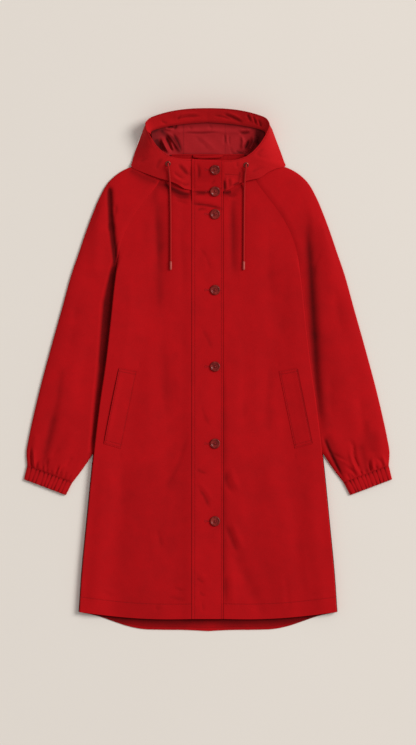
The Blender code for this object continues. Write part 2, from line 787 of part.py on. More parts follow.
def placket_sheet(front_left, hood_left):
    """Placket laid on the left front and on the hood's underlap, made from their points."""
    columns = len(PLACKET_COLUMNS)
    neck_edge = HOOD_UNDERLAP[-1][2]
    rows = []
    for row in front_left[:, :columns]:
        if row[0, 1] < neck_edge - PLACKET_NECK_STEP:
            rows.append(row)
    rows[0] = rows[0].copy()
    rows[0][:, 1] = PLACKET_HEM_Y
    on_hood = hood_left[-columns:][::-1]
    for step in range(HOOD_STEPS + 1):
        rows.append(on_hood[:, step])
    return np.array(rows) + np.array((0.0, 0.0, PLACKET_LIFT))


def welt_sheet(side, surfaces):
    """Pocket welt made from the front's own surface, moved out."""
    corners = {name: np.array(place) for name, place in WELT_CORNERS.items()}
    rows = []
    for down in np.linspace(1.0, 0.0, WELT_ROWS):
        inner = corners["inner_top"] * (1.0 - down) + corners["inner_low"] * down
        outer = corners["outer_top"] * (1.0 - down) + corners["outer_low"] * down
        row = []
        for across in np.linspace(0.0, 1.0, WELT_COLUMNS):
            x, y = inner * (1.0 - across) + outer * across
            height, _ = lie_on(surfaces, side * x, y)
            row.append((side * x, y, height + WELT_GAP + WELT_THICK))
        rows.append(row)
    return facing_up(np.array(rows), side)


def applied_mesh(piece):
    """New mesh of an object with its modifiers applied."""
    evaluated = piece.evaluated_get(bpy.context.evaluated_depsgraph_get())
    return bpy.data.meshes.new_from_object(evaluated)


def turned_mesh(name, profile, steps, ring=False):
    """Mesh of a turned shape; the profile runs down its outer side, in millimetres."""
    mesh = bpy.data.meshes.new(name)
    points = [(radius * MM, 0.0, height * MM) for radius, height in profile]
    edges = [(n, n + 1) for n in range(len(points) - 1)]
    if ring:
        edges.append((len(points) - 1, 0))
    mesh.from_pydata(points, edges, [])
    shape = bpy.data.objects.new(name, mesh)
    GARMENT.objects.link(shape)
    screw = shape.modifiers.new("Turn", "SCREW")
    screw.steps = steps
    screw.render_steps = steps
    screw.use_merge_vertices = True
    screw.merge_threshold = 0.00001
    turned = applied_mesh(shape)
    bpy.data.objects.remove(shape)
    return turned


def button_mesh():
    """Four-hole button with a raised rim and a dished middle."""
    radius = 0.5 * BUTTON_DIAMETER
    profile = [(share * radius, height) for share, height in BUTTON_PROFILE]
    mesh = turned_mesh("button", profile, BUTTON_STEPS)
    blank = bpy.data.objects.new("button blank", mesh)
    GARMENT.objects.link(blank)
    holes = []
    for along, across in ((1, 1), (1, -1), (-1, -1), (-1, 1)):
        bpy.ops.mesh.primitive_cylinder_add(
            vertices=6,
            radius=0.5 * BUTTON_HOLE * MM,
            depth=CUTTER_LENGTH * MM,
            location=(along * BUTTON_HOLE_SPACING * MM, across * BUTTON_HOLE_SPACING * MM, 0.0),
        )
        hole = bpy.context.object
        hide_cutter(hole, "button hole")
        cut = blank.modifiers.new("Hole", "BOOLEAN")
        cut.object = hole
        holes.append(hole)
    pierced = applied_mesh(blank)
    for thing in [blank, *holes]:
        bpy.data.objects.remove(thing)
    return pierced


def move_to(piece, collection):
    for holder in list(piece.users_collection):
        holder.objects.unlink(piece)
    collection.objects.link(piece)


def hide_cutter(cutter, name):
    """Move a cutter to its own collection and keep it out of the model."""
    cutter.name = name
    move_to(cutter, CUTTERS)
    cutter.hide_render = True
    cutter.display_type = "WIRE"


def place_flat(piece, x, y, height, normal):
    """Set a small piece on a sloping surface, its own Z along the surface's normal."""
    turn = Vector((0.0, 0.0, 1.0)).rotation_difference(normal).to_matrix().to_4x4()
    piece.matrix_world = Matrix.Translation(Vector((x, y, height)) * MM) @ turn


def seat_on(surfaces, x, y, radius):
    """Height and mean normal at which a disc clears the surface under its whole rim."""
    height, normal = lie_on(surfaces, x, y)
    rise = 0.0
    for step in range(SEAT_STEPS):
        angle = math.tau * step / SEAT_STEPS
        spot_x = x + radius * math.cos(angle)
        spot_y = y + radius * math.sin(angle)
        found = lie_on(surfaces, spot_x, spot_y)
        if found is not None:
            above = Vector((spot_x - x, spot_y - y, found[0] - height)).dot(normal)
            rise = max(rise, above)
    return height + (rise + SEAM_GAP) / normal.z, normal


def build_body():
    front_right = front_sheet(-1, FRONT_RIGHT_START_X, lapped=False)
    front_left = front_sheet(1, 0.0, lapped=True)
    cloth_sheet("front_right", front_right, RED_CLOTH)
    cloth_sheet("front_left", front_left, RED_CLOTH)
    side_edge = smooth_curve(SIDE_EDGE, BODY_ROWS)
    raglan = smooth_curve(RAGLAN_SEAM, RAGLAN_ROWS)
    hem = smooth_curve(BACK_HEM, HEM_POINTS)
    half = np.concatenate([hem[:-1], side_edge, raglan[1:], [BACK_NECK_CORNER]])
    mirrored = half[:0:-1] * np.array((-1.0, 1.0))
    flat_outline("back", np.concatenate([half, mirrored]), CLOTH, RED_CLOTH)
    return front_right, front_left


def build_sleeves():
    for name in SIDES:
        cloth_sheet("sleeve_" + name, sleeve_sheet(name), RED_CLOTH)
        cloth_sheet("cuff_" + name, cuff_ring(name), RED_CLOTH, closed=True)


def pierce(piece, x, y, height, normal, diameter):
    """Round hole through a cloth piece, square to its surface."""
    bpy.ops.mesh.primitive_cylinder_add(
        vertices=10,
        radius=0.5 * diameter * MM,
        depth=CUTTER_LENGTH * MM,
    )
    cutter = bpy.context.object
    hide_cutter(cutter, piece.name + " hole")
    place_flat(cutter, x, y, height, normal)
    cut = piece.modifiers.new("Eyelet hole", "BOOLEAN")
    cut.object = cutter


def build_hood():
    sides = {}
    for name in SIDES:
        points = hood_side_sheet(name)
        sides[name] = points
        piece = cloth_sheet("hood_side_" + name, points, HOOD_CLOTH)
        surface = [surface_of(points)]
        x, y = EYELET_PLACES[name]
        height, normal = lie_on(surface, x, y)
        pierce(piece, x, y, height, normal, EYELET_HOLE)
        seat, normal = seat_on(surface, x, y, 0.5 * EYELET_DIAMETER)
        eyelet = add_object("eyelet_" + name, eyelet_mesh(), DARK_METAL)
        place_flat(eyelet, x, y, seat, normal)
    cloth_sheet("hood_back", hood_back_sheet(), HOOD_CLOTH)
    for name, side in SIDES.items():
        cloth_sheet("hood_facing_" + name, facing_sheet(side), HOOD_CLOTH)
    gap = 0.5 * SEAM_GAP
    lining = {
        "hood_lining_right": (None, LINING_SEAM_RIGHT_X - gap),
        "hood_lining_centre": (LINING_SEAM_RIGHT_X + gap, LINING_SEAM_LEFT_X - gap),
        "hood_lining_left": (LINING_SEAM_LEFT_X + gap, None),
    }
    for name, (start_x, end_x) in lining.items():
        cloth_sheet(name, lining_sheet(start_x, end_x), LINING_CLOTH)
    cloth_sheet("neck_band", neck_band_sheet(), RED_CLOTH)
    cloth_sheet("hang_loop", hang_loop_sheet(), RED_CLOTH, thickness=HANG_LOOP_THICK)
    return sides


def eyelet_mesh():
    """Rolled metal ring round a round hole."""
    outer = 0.5 * EYELET_DIAMETER
    inner = 0.5 * EYELET_HOLE
    profile = [
        (inner, 1.0),
        (inner + 0.6, 1.6),
        (outer - 0.8, 1.4),
        (outer, 0.4),
        (outer - 0.3, 0.0),
        (inner, 0.0),
    ]
    return turned_mesh("eyelet", profile, 14, ring=True)


def build_buttons(surfaces):
    mesh = button_mesh()
    for number, y in enumerate(BUTTON_Y, start=1):
        seat, normal = seat_on(surfaces, BUTTON_X, y, BUTTON_SEAT_SHARE * BUTTON_DIAMETER)
        button = add_object(f"button_{number}", mesh, BUTTON_RESIN)
        place_flat(button, BUTTON_X, y, seat, normal)


def build_cords():
    """Drawcord out of each eyelet, with a moulded tip on its free end."""
    for name, route in CORD_ROUTES.items():
        curve = bpy.data.curves.new("drawcord_" + name, "CURVE")
        curve.dimensions = "3D"
        curve.bevel_depth = 0.5 * CORD_DIAMETER * MM
        curve.bevel_resolution = 2
        curve.use_fill_caps = True
        spline = curve.splines.new("POLY")
        spline.points.add(CORD_POINTS - 1)
        for point, place in zip(spline.points, smooth_curve(route, CORD_POINTS)):
            point.co = (*(place * MM), 1.0)
        add_object("drawcord_" + name, curve, CORD_YARN)
        end_x, end_y, end_z = route[-1]
        middle_y = end_y - SEAM_GAP - 0.5 * TIP_LENGTH
        bpy.ops.mesh.primitive_cylinder_add(
            vertices=10,
            radius=0.5 * TIP_DIAMETER * MM,
            depth=TIP_LENGTH * MM,
            location=(end_x * MM, middle_y * MM, (end_z + TIP_LIFT) * MM),
            rotation=(math.radians(90.0), 0.0, 0.0),
        )
        tip = bpy.context.object
        tip.name = "cord_tip_" + name
        tip.data.materials.append(TIP_PLASTIC)
        move_to(tip, GARMENT)


def remove_objects():
    for thing in list(bpy.data.objects):
        bpy.data.objects.remove(thing)


remove_objects()
GARMENT = collection_named("Hooded rain jacket")
CUTTERS = collection_named("Cutters")
RED_CLOTH = plain_material("Red cotton cloth", (0.42, 0.005, 0.008), 0.75)
HOOD_CLOTH = plain_material("Hood cotton cloth", (0.44, 0.007, 0.009), 0.75)
LINING_CLOTH = plain_material("Dusty red lining", (0.37, 0.022, 0.028), 0.6)
BUTTON_RESIN = plain_material("Brown-red button resin", (0.16, 0.018, 0.014), 0.3)
DARK_METAL = plain_material("Dark eyelet metal", (0.1, 0.09, 0.09), 0.35, metallic=1.0)
CORD_YARN = plain_material("Red cord", (0.43, 0.02, 0.02), 0.8)
TIP_PLASTIC = plain_material("Pink cord tip", (0.48, 0.09, 0.08), 0.35)

front_right_sheet, front_left_sheet = build_body()
build_sleeves()
hood_sheets = build_hood()
placket_points = placket_sheet(front_left_sheet, hood_sheets["left"])
cloth_sheet("placket", placket_points, RED_CLOTH, thickness=PLACKET_THICK)
for side_label, front_points in (("right", front_right_sheet), ("left", front_left_sheet)):
    welt = welt_sheet(SIDES[side_label], [surface_of(front_points)])
    cloth_sheet("pocket_welt_" + side_label, welt, RED_CLOTH, thickness=WELT_THICK)
build_buttons([surface_of(placket_points)])
build_cords()
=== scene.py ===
import math

import bmesh
import bpy
import numpy as np
from mathutils import Matrix, Vector
from mathutils.bvhtree import BVHTree


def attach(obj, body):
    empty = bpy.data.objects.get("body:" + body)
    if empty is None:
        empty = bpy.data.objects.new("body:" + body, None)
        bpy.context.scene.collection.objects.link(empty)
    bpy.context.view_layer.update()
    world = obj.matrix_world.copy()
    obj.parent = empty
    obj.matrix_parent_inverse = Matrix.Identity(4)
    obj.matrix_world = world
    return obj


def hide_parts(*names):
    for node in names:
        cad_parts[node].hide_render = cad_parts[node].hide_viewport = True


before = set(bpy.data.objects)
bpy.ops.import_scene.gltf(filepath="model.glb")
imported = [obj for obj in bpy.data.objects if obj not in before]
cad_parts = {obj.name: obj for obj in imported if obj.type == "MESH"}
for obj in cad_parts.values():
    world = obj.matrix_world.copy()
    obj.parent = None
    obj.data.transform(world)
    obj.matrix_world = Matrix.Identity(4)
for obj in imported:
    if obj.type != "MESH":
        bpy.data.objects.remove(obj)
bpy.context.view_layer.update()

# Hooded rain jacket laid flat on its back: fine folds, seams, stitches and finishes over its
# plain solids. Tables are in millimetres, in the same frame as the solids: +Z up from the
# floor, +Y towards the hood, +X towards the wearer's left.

MM = 0.001
SIDES = {"right": -1, "left": 1}

# Camera and light, in metres
PHOTO_HEIGHT = 1.490
PHOTO_MIDDLE_Y = -0.005
CAMERA_AWAY = 9.0
LIGHT_PLACE = (14.2, 6.4, 13.0)
LIGHT_SIZE = 10.0
LIGHT_POWER = 3310.0
WORLD_LIGHT = 0.45
FLOOR_HALF = 6.0
FLOOR_Z = -0.0004

# Cloth, seams and the heights of the laid layers
CLOTH = 1.2
SEAM_GAP = 0.3
SEAM_OPEN = 0.12
UPPER_EDGE = CLOTH + SEAM_GAP + CLOTH
SIDE_GAP = {"right": 0.25, "left": -0.6}
SIDE_LIFT = {"right": 0.0, "left": 1.6}
BACK_REACH = 1.4
UNDER_GAP = 1.9
FRONT_TOP = 6.0
SLEEVE_TOP = 8.4
RAGLAN_TOP = 6.4
RAGLAN_RISE = {"right": (208.0, 38.0), "left": (-190.0, 60.0)}
BODY_ROLL = 14.0
SLEEVE_INNER_ROLL = 12.0
SLEEVE_DENT_FADE = 14.0
SLEEVE_OUTER_ROLL = 24.0
ARMPIT_FADE = (190.0, 60.0)
SIDE_ROLL = 1.8
SIDE_RIDGE = 5.4
SIDE_RIDGE_FALL = (16.0, 60.0)
SLEEVE_FREE_FADE = (-185.0, 50.0)
SLEEVE_BESIDE_BODY = (-172.0, 10.0)
SLEEVE_INNER_RISE = {
    # y, start, length, low and high on the arm
    "right": ((-130, 4, 9), (130, 13, 13), (230, 4, 7)),
    "left": ((-130, 1, 16), (200, 1, 22)),
}

# Placket, buttons, eyelets and cords
PLACKET_LEFT_X = 30.0
PLACKET_RIGHT_X = -32.0
PLACKET_THICK = 1.5
PLACKET_LIFT = 1.9
PLACKET_BLEND = 24.0
PLACKET_HEM_Y = -497.6
# x of the placket's two long rows of stitches
PLACKET_ROWS = (-27.0, 26.6)
PLACKET_TO_HOOD_Y = 346.0
# y where the hood starts to lie over a panel, and over what length
HOOD_OVER_FRONT = (330.0, 15.0)
HOOD_OVER_SLEEVE = (372.0, 12.0)
BUTTON_X = 14.3
BUTTON_Y = (399.6, 357.0, 311.6, 160.0, 7.0, -147.0, -302.0)
BUTTON_HOLE = 1.7
BUTTON_HOLE_SPACING = 1.75
BUTTON_PROFILE = [
    # radius, height, from the dished middle over the rim to the underside
    (4.7, 1.6), (5.4, 1.66), (6, 1.86), (6.6, 2.25), (7.2, 2.72), (7.8, 3.05), (8.4, 3.2), (8.9, 3.14),
    (9.4, 2.86), (9.8, 2.42), (10.1, 1.9), (10.2, 1.4), (10.05, 0.9), (9.6, 0.42), (8.9, 0.1), (8.2, 0),
]
STRAND_RADIUS = 0.26
BUTTON_TURNS = (0.2, -0.15, 0.35, -0.3, 0.1, 0.5, -0.05)
BUTTONHOLE_START_X = 6.0
BUTTONHOLE_EYE_X = -4.6
BUTTONHOLE_EYE = 2.1
BUTTONHOLE_HALF = 0.9
EYELET_HOLE_RADIUS = 2.75
EYELET_PROFILE = [
    # radius, height
    (2.72, 0.2), (2.7, 0.9), (2.9, 1.3), (3.35, 1.56), (4, 1.6), (4.7, 1.38), (5.2, 0.95),
    (5.48, 0.45), (5.42, 0.05), (2.9, 0.02),
]
EYELET_PLACES = {"right": (-79.6, 411.6), "left": (76.0, 409.0)}
CORD_DIAMETER = 3.8
CORD_BRAID = 2.4
TIP_DIAMETER = 4.4
TIP_LIFT = 0.2
TIP_PROFILE = [
    # along, share of the diameter
    (0, 0.8), (0.3, 0.94), (0.9, 1), (2.2, 1), (2.6, 0.93), (3, 1), (13, 0.98),
    (15, 0.94), (16.2, 0.8), (16.8, 0.55), (17, 0.3),
]
CORD_ROUTES = {
    "right": [
        # x, y, z
        (-79.6, 412.8, 22.4), (-79.6, 411.2, 26.9), (-79.4, 408.6, 29.6), (-78.9, 404.6, 28),
        (-78, 399, 24.4), (-77.2, 392, 21), (-76.5, 384, 17.6), (-76.1, 378, 15),
        (-75.8, 371.5, 11.9), (-75.6, 364, 9.4), (-75.3, 354, 8.6), (-75, 340, 8.6),
        (-74.6, 320, 8.9), (-74.4, 290, 9.1), (-74.3, 255, 9), (-74.3, 217.2, 9.2),
    ],
    "left": [
        # x, y, z
        (76, 410.2, 22), (76, 408.7, 26.5), (75.9, 406.2, 29.2), (75.5, 402.4, 27.8),
        (74.9, 397, 24.2), (74.1, 390, 20.6), (73.5, 383, 17.4), (73.2, 377.5, 14.9),
        (73, 371.5, 11.9), (72.9, 364, 9.4), (72.8, 354, 8.6), (72.7, 340, 8.6),
        (72.5, 320, 8.9), (72.3, 290, 9.1), (72, 255, 9), (71.8, 217.2, 9),
    ],
}

HANGING_CORD_X = (-74.8, 72.4)
HANGING_CORD_SHADE = 5.0
FRONT_FOLDS_FADE = 30.0
FRONT_CREASES_FADE = 14.0
HANGING_CORD_START = (186.0, 10.0)

# Outlines of the panels, as pairs of x, y
SIDE_EDGE = [
    (257.5, -483.6), (252.5, -410), (242, -300), (231, -190), (217, -70),
    (204, 20), (194.5, 104), (187, 174), (181, 219),
]
RAGLAN_SEAM = [
    (181, 219), (172.5, 256), (161, 284), (143.5, 314), (122, 343),
    (100, 372), (89, 394),
]
SLEEVE_SHOULDER = [
    (257.5, 236), (244, 276), (230.5, 312), (217, 344), (197, 377.5),
    (155, 405.5), (95, 404.6),
]
SLEEVE_ARM = [
    # inner_x, inner_y, outer_x, outer_y
    (181, 219, 257.5, 236), (187, 174, 272, 194), (194.5, 104, 291, 126),
    (204, 20, 313.5, 46), (217, -70, 337.5, -44), (223.5, -123, 350, -97),
    (229.5, -164, 358.5, -137), (247, -193, 362.8, -163), (270.74, -224.7, 361.45, -191.2),
]
CUFF_INNER = ((271.1, -224.7), (284.2, -250.2))
CUFF_OUTER = ((361.5, -191.3), (368.0, -218.6))
CUFF_TOP = 5.6
CUFF_SEAM_TOP = 5.0
CUFF_SEAM_ROLL = 9.0
CUFF_DEPTH = 28.0
CUFF_ROLL = 8.0
# places of the gathers across a cuff
CUFF_GATHERS = (0.035, 0.115, 0.2, 0.29, 0.375, 0.455, 0.54, 0.625, 0.71, 0.805, 0.895)
# inwards, height of the cloth where it turns under at a cuff's or sleeve's folded edge
CUFF_TURN = [(0.1, 1.9), (0.4, 1.1), (1.0, 0.4), (1.9, 0.0)]
SLEEVE_TURN = [(0.05, 2.0), (0.4, 1.1), (1.0, 0.4), (1.9, 0.0)]
BACK_HEM = [
    (0, -522), (44, -519.8), (97, -519.2), (132, -517.6), (160, -511.8),
    (187, -502.8), (216, -492.8), (257.5, -483.6),
]
BACK_NECK = (88.0, 404.9)
HOOD_BACK_START = ((105.0, 405.3), (120.0, 407.2), (130.0, 408.0))
HOOD_BACK_WAVY = ((2.0, 8.0), (31.0, 6.0))
HOOD_BACK_ROW_Z = 27.0
FRONT_HEM_CENTRE_Y = -495.0
FRONT_HEM_SAG = 7.0
FRONT_ARMPIT_Y = 205.0
FRONT_NECK_Y = 366.0
HEM_OF_FRONTS = [
    # x, y
    (0, -495), (64, -498.5), (129, -497), (193, -491.5), (257.5, -483.6),
]
HEM_DEPTH = 30.0
HEM_BLEND = 40.0
TAIL_START_Y = -300.0
BACK_HEM_ROW = 6.0
BACK_DENTED = ((-490.0, 40.0), (395.0, 30.0))
# Reach of the painted shadow that the fronts' hem casts on the back's tail
BACK_HEM_SHADOW_REACH = 26.0
EDGE_BAND = 27.0

# Hood sides from the top corner of the rim round to the placket
HOOD_LEFT = [
    # rim_x, rim_y, rim_z, edge_x, edge_y, edge_z, free
    (112.8, 504.4, 31, 113.4, 500.6, 2.9, 1), (118.6, 499.4, 31.3, 118.6, 496, 2.9, 1),
    (122.2, 493, 32, 122.8, 490.6, 2.9, 1), (121.8, 485, 33, 127.5, 483, 2.9, 1),
    (117, 473.5, 33, 132, 471.5, 2.9, 1), (110.5, 461.5, 32.5, 136.6, 459, 2.9, 1),
    (103, 450.4, 31.5, 142, 445, 2.9, 1), (95, 441.2, 30.5, 147.5, 430, 2.9, 1),
    (86.5, 433.2, 29.5, 152, 417, 2.7, 1), (79, 427.8, 28.5, 155, 408.2, 4, 1),
    (71, 424, 27.5, 136, 402, 10, 1), (61, 420.6, 26.5, 120, 395, 12, 1),
    (52, 418.8, 26, 103, 384, 12.5, 1), (44, 418, 25.5, 80, 378.4, 12, 0.9),
    (37, 418, 25.2, 60, 371.6, 11, 0.6), (33, 418, 25, 45, 362.6, 9.4, 0.3),
    (30, 418, 25, 30, 356.8, 8.2, 0),
]
HOOD_RIGHT = [
    # rim_x, rim_y, rim_z, edge_x, edge_y, edge_z, free
    (112.8, 504.6, 31, 113.4, 500.8, 2.9, 1), (119, 499.6, 31.3, 119, 496.2, 2.9, 1),
    (124, 493, 32, 124.2, 490.6, 2.9, 1), (124.4, 484, 33, 128.4, 483.5, 2.9, 1),
    (119, 473, 33, 132.4, 472.5, 2.9, 1), (111.6, 461, 32.5, 137, 460, 2.9, 1),
    (103.4, 448.8, 31.5, 142.4, 446, 2.9, 1), (95, 440, 30.5, 147.5, 431, 2.9, 1),
    (87, 433.2, 29.5, 151.4, 417, 3, 1), (80, 428.8, 28.5, 153.6, 407.8, 5.6, 1),
    (73, 425.6, 27.5, 131, 395.4, 10, 1), (65, 423.4, 26.5, 113, 388.6, 12, 1),
    (57, 422, 26, 97, 383, 12.5, 1), (49, 421.4, 25.5, 79, 378.2, 12, 0.9),
    (41, 421, 25.2, 62, 371.6, 11, 0.6), (36, 420.9, 25, 47, 362.6, 9.4, 0.3),
    (32.12, 420.8, 25, 32.12, 359.6, 8.2, 0),
]
UNDERLAP_RIM = ((-32.0, 420.8), (-11.0, 419.9), (10.0, 419.0), (30.0, 418.0))
UNDERLAP_EDGE = ((-32.0, 358.6), (-11.0, 358.0), (10.0, 357.4), (30.0, 356.8))
UNDERLAP_RIM_Z = 25.0
UNDERLAP_EDGE_Z = 8.2
# Stitched row of the cord's channel, left of the placket: height at the middle, reach and slope
CHANNEL_Y = 392.4
CHANNEL_REACH = (33.0, 64.0)
CHANNEL_SLOPE = 0.06
RIM_ROW = 3.0
RIM_PEAK_Y = 522.0
RIM_DROP = 17.6
RIM_DROP_AT_X = 112.4
RIM_DROP_POWER = 2.5
HOOD_BACK_FLOOR = [
    # along, half_width
    (0, 153.6), (0.12, 151.2), (0.25, 147.4), (0.5, 139.7), (0.78, 131),
]
HOOD_BACK_WALL = [
    # inset, height, half_width
    (10, 0, 121.4), (5.4, 2.2, 112.2), (2.6, 8, 112.2), (1, 18, 112.2), (0, 31, 112.2),
]
FACING = [
    # outer_x, outer_y, inner_x, inner_y, inner_z
    (0.02, 520.6, 0.02, 494.6, 12), (44, 518.9, 42, 491.6, 12.1), (76, 514, 72, 487.6, 12.6),
    (97, 508.5, 93, 483.2, 14), (108, 504.7, 101, 481, 15.6),
    (113.6, 501.8, 105, 479.8, 17), (118.2, 496.8, 109, 478, 18.6),
    (120.8, 491.4, 112, 476.4, 20), (120.8, 484.6, 113.5, 473.6, 21),
    (118.6, 477, 113.5, 469.6, 21.6),
]
FACING_SPREAD = {"right": 3.0, "left": 0.4}
FACING_SPREAD_START = (106.0, 12.0)
FACING_RIM_Z = 30.0
# Where the creases of a hood piece start and end across it, with the width of each fade
HOOD_SIDE_CREASED = ((0.0, 0.12), (1.0, 0.06))
FACING_CREASED = ((0.0, 0.1), (1.0, 0.1))
# x and half width of the cords where they lie on the hood, and the y of their upper ends
CORD_ON_HOOD = (76.0, 6.0)
CORD_TOP_Y = 415.0
LINING_FLOOR = 3.0
LINING_SEAM_RIGHT_X = -49.0
LINING_SEAM_LEFT_X = 34.0
LINING_EDGE = [
    # y, x
    (429, 86), (440, 98), (450, 106), (461, 111), (473, 113), (480, 112),
]
LINING_SIDE_RISE = 15.0
LINING_RISE_START = (58.0, 55.0)
# Start and width of the painted shade at the sides of the hood's lining
LINING_SHADED_SIDE = (82.0, 26.0)
LINING_CREASE = 1.6
LINING_CREASE_Y = 476.0
LINING_CREASE_END = (50.0, 30.0)
NECK_BAND = [
    # y, z, half_width
    (396, 2.9, 64), (410, 4, 70), (422, 6.6, 74), (431, 9, 72),
]
NECK_BAND_FREE = ((398.0, 8.0), (430.0, 5.0))
NECK_BAND_ROW_Y = 427.6
HANG_LOOP = [
    # x, y, z
    (-29.5, 427.6, 10.6), (-20, 425.6, 11.4), (0, 425.4, 12), (20, 426.6, 11.4),
    (29.5, 427.6, 10.6),
]
HANG_LOOP_WIDTH = 5.4
HANG_LOOP_THICK = 1.0
WELT_CORNERS = {
    "inner_top": (142, -2),
    "outer_top": (177.5, 4.6),
    "inner_low": (174, -157),
    "outer_low": (208, -147.5),
}
# Offset from a front's edge at the placket of the painted shadow line beside the placket
PLACKET_SHADOW_OFFSET = 0.5
WELT_LENGTH = 157.0
WELT_WIDTH = 35.5
WELT_THICK = 0.7
WELT_LIP = {"right": 2.0, "left": 1.1}
WELT_GAP = 0.15

# Walls that aren't as thick as the rest of the cloth, and the angle from which an edge is crisp
OTHER_WALLS = {
    "placket": PLACKET_THICK,
    "pocket_welt_right": WELT_THICK,
    "pocket_welt_left": WELT_THICK,
    "hang_loop": HANG_LOOP_THICK,
}
CRISP_ANGLE = 55.0
BUTTON_CRISP_ANGLE = 40.0

# What a sheet carries for the cloth's finish where nothing is near
NONE_NEAR = 60.0
CARRIED = {"row_1": NONE_NEAR, "row_2": NONE_NEAR, "slit_1": NONE_NEAR, "slit_2": NONE_NEAR, "hollow": 0.0}
# Strength of the painted shade in creases and shaded bands, and of the painted shadow lines at the pocket
# openings and beside the placket
HOLLOW_SHADE = 0.74
SLIT_SHADE = 0.55
STITCH_LIFT = 0.12
STITCH_SIZES = {"Spacing": 3.2, "Length": 2.4, "Thickness": 0.5, "Turn": 0.0}

# Broad folds that the solids have too: x0, y0, x1, y1, width, height
FRONT_FOLDS = [
    (-95, 345, -92, 185, 13, -1.5), (-60, 330, -62, 120, 22, 1.2),
    (-130, 260, -140, 60, 24, 1.4), (-120, -60, -150, -480, 30, 1.7),
    (-65, -40, -70, -480, 22, -1.2), (-205, -190, -222, -470, 20, 1.4),
    (52, 352, 53, 190, 11, -1.2), (95, 330, 105, 60, 26, 1.5),
    (150, 220, 158, 40, 20, -1), (60, 60, 62, -330, 20, 1.1),
    (56, -370, 110, -490, 13, -1.9), (120, -170, 170, -480, 30, 1.8),
    (200, -230, 222, -470, 18, 1.2),
]
SLEEVE_FOLDS = {
    "right": [
        (197, 362, 193.5, 280, 5.4, -5.2), (193.5, 290, 185, 222, 5.4, -5),
        (214, 330, 226, 190, 15, 2.4), (245, 90, 290, -90, 24, 2.2),
        (308, -92, 331, -192, 9, -0.8), (268, -120, 302, -200, 14, 1.8),
        (345, -130, 350, -188, 8, 1.4),
    ],
    "left": [
        (230, 300, 252, 150, 16, 2.2), (252, 70, 296, -110, 24, 2.2),
        (304, -150, 318, -206, 8, -1.8), (236, -130, 270, -212, 9, -1.6),
        (340, -120, 347, -190, 10, 1.6),
    ],
}

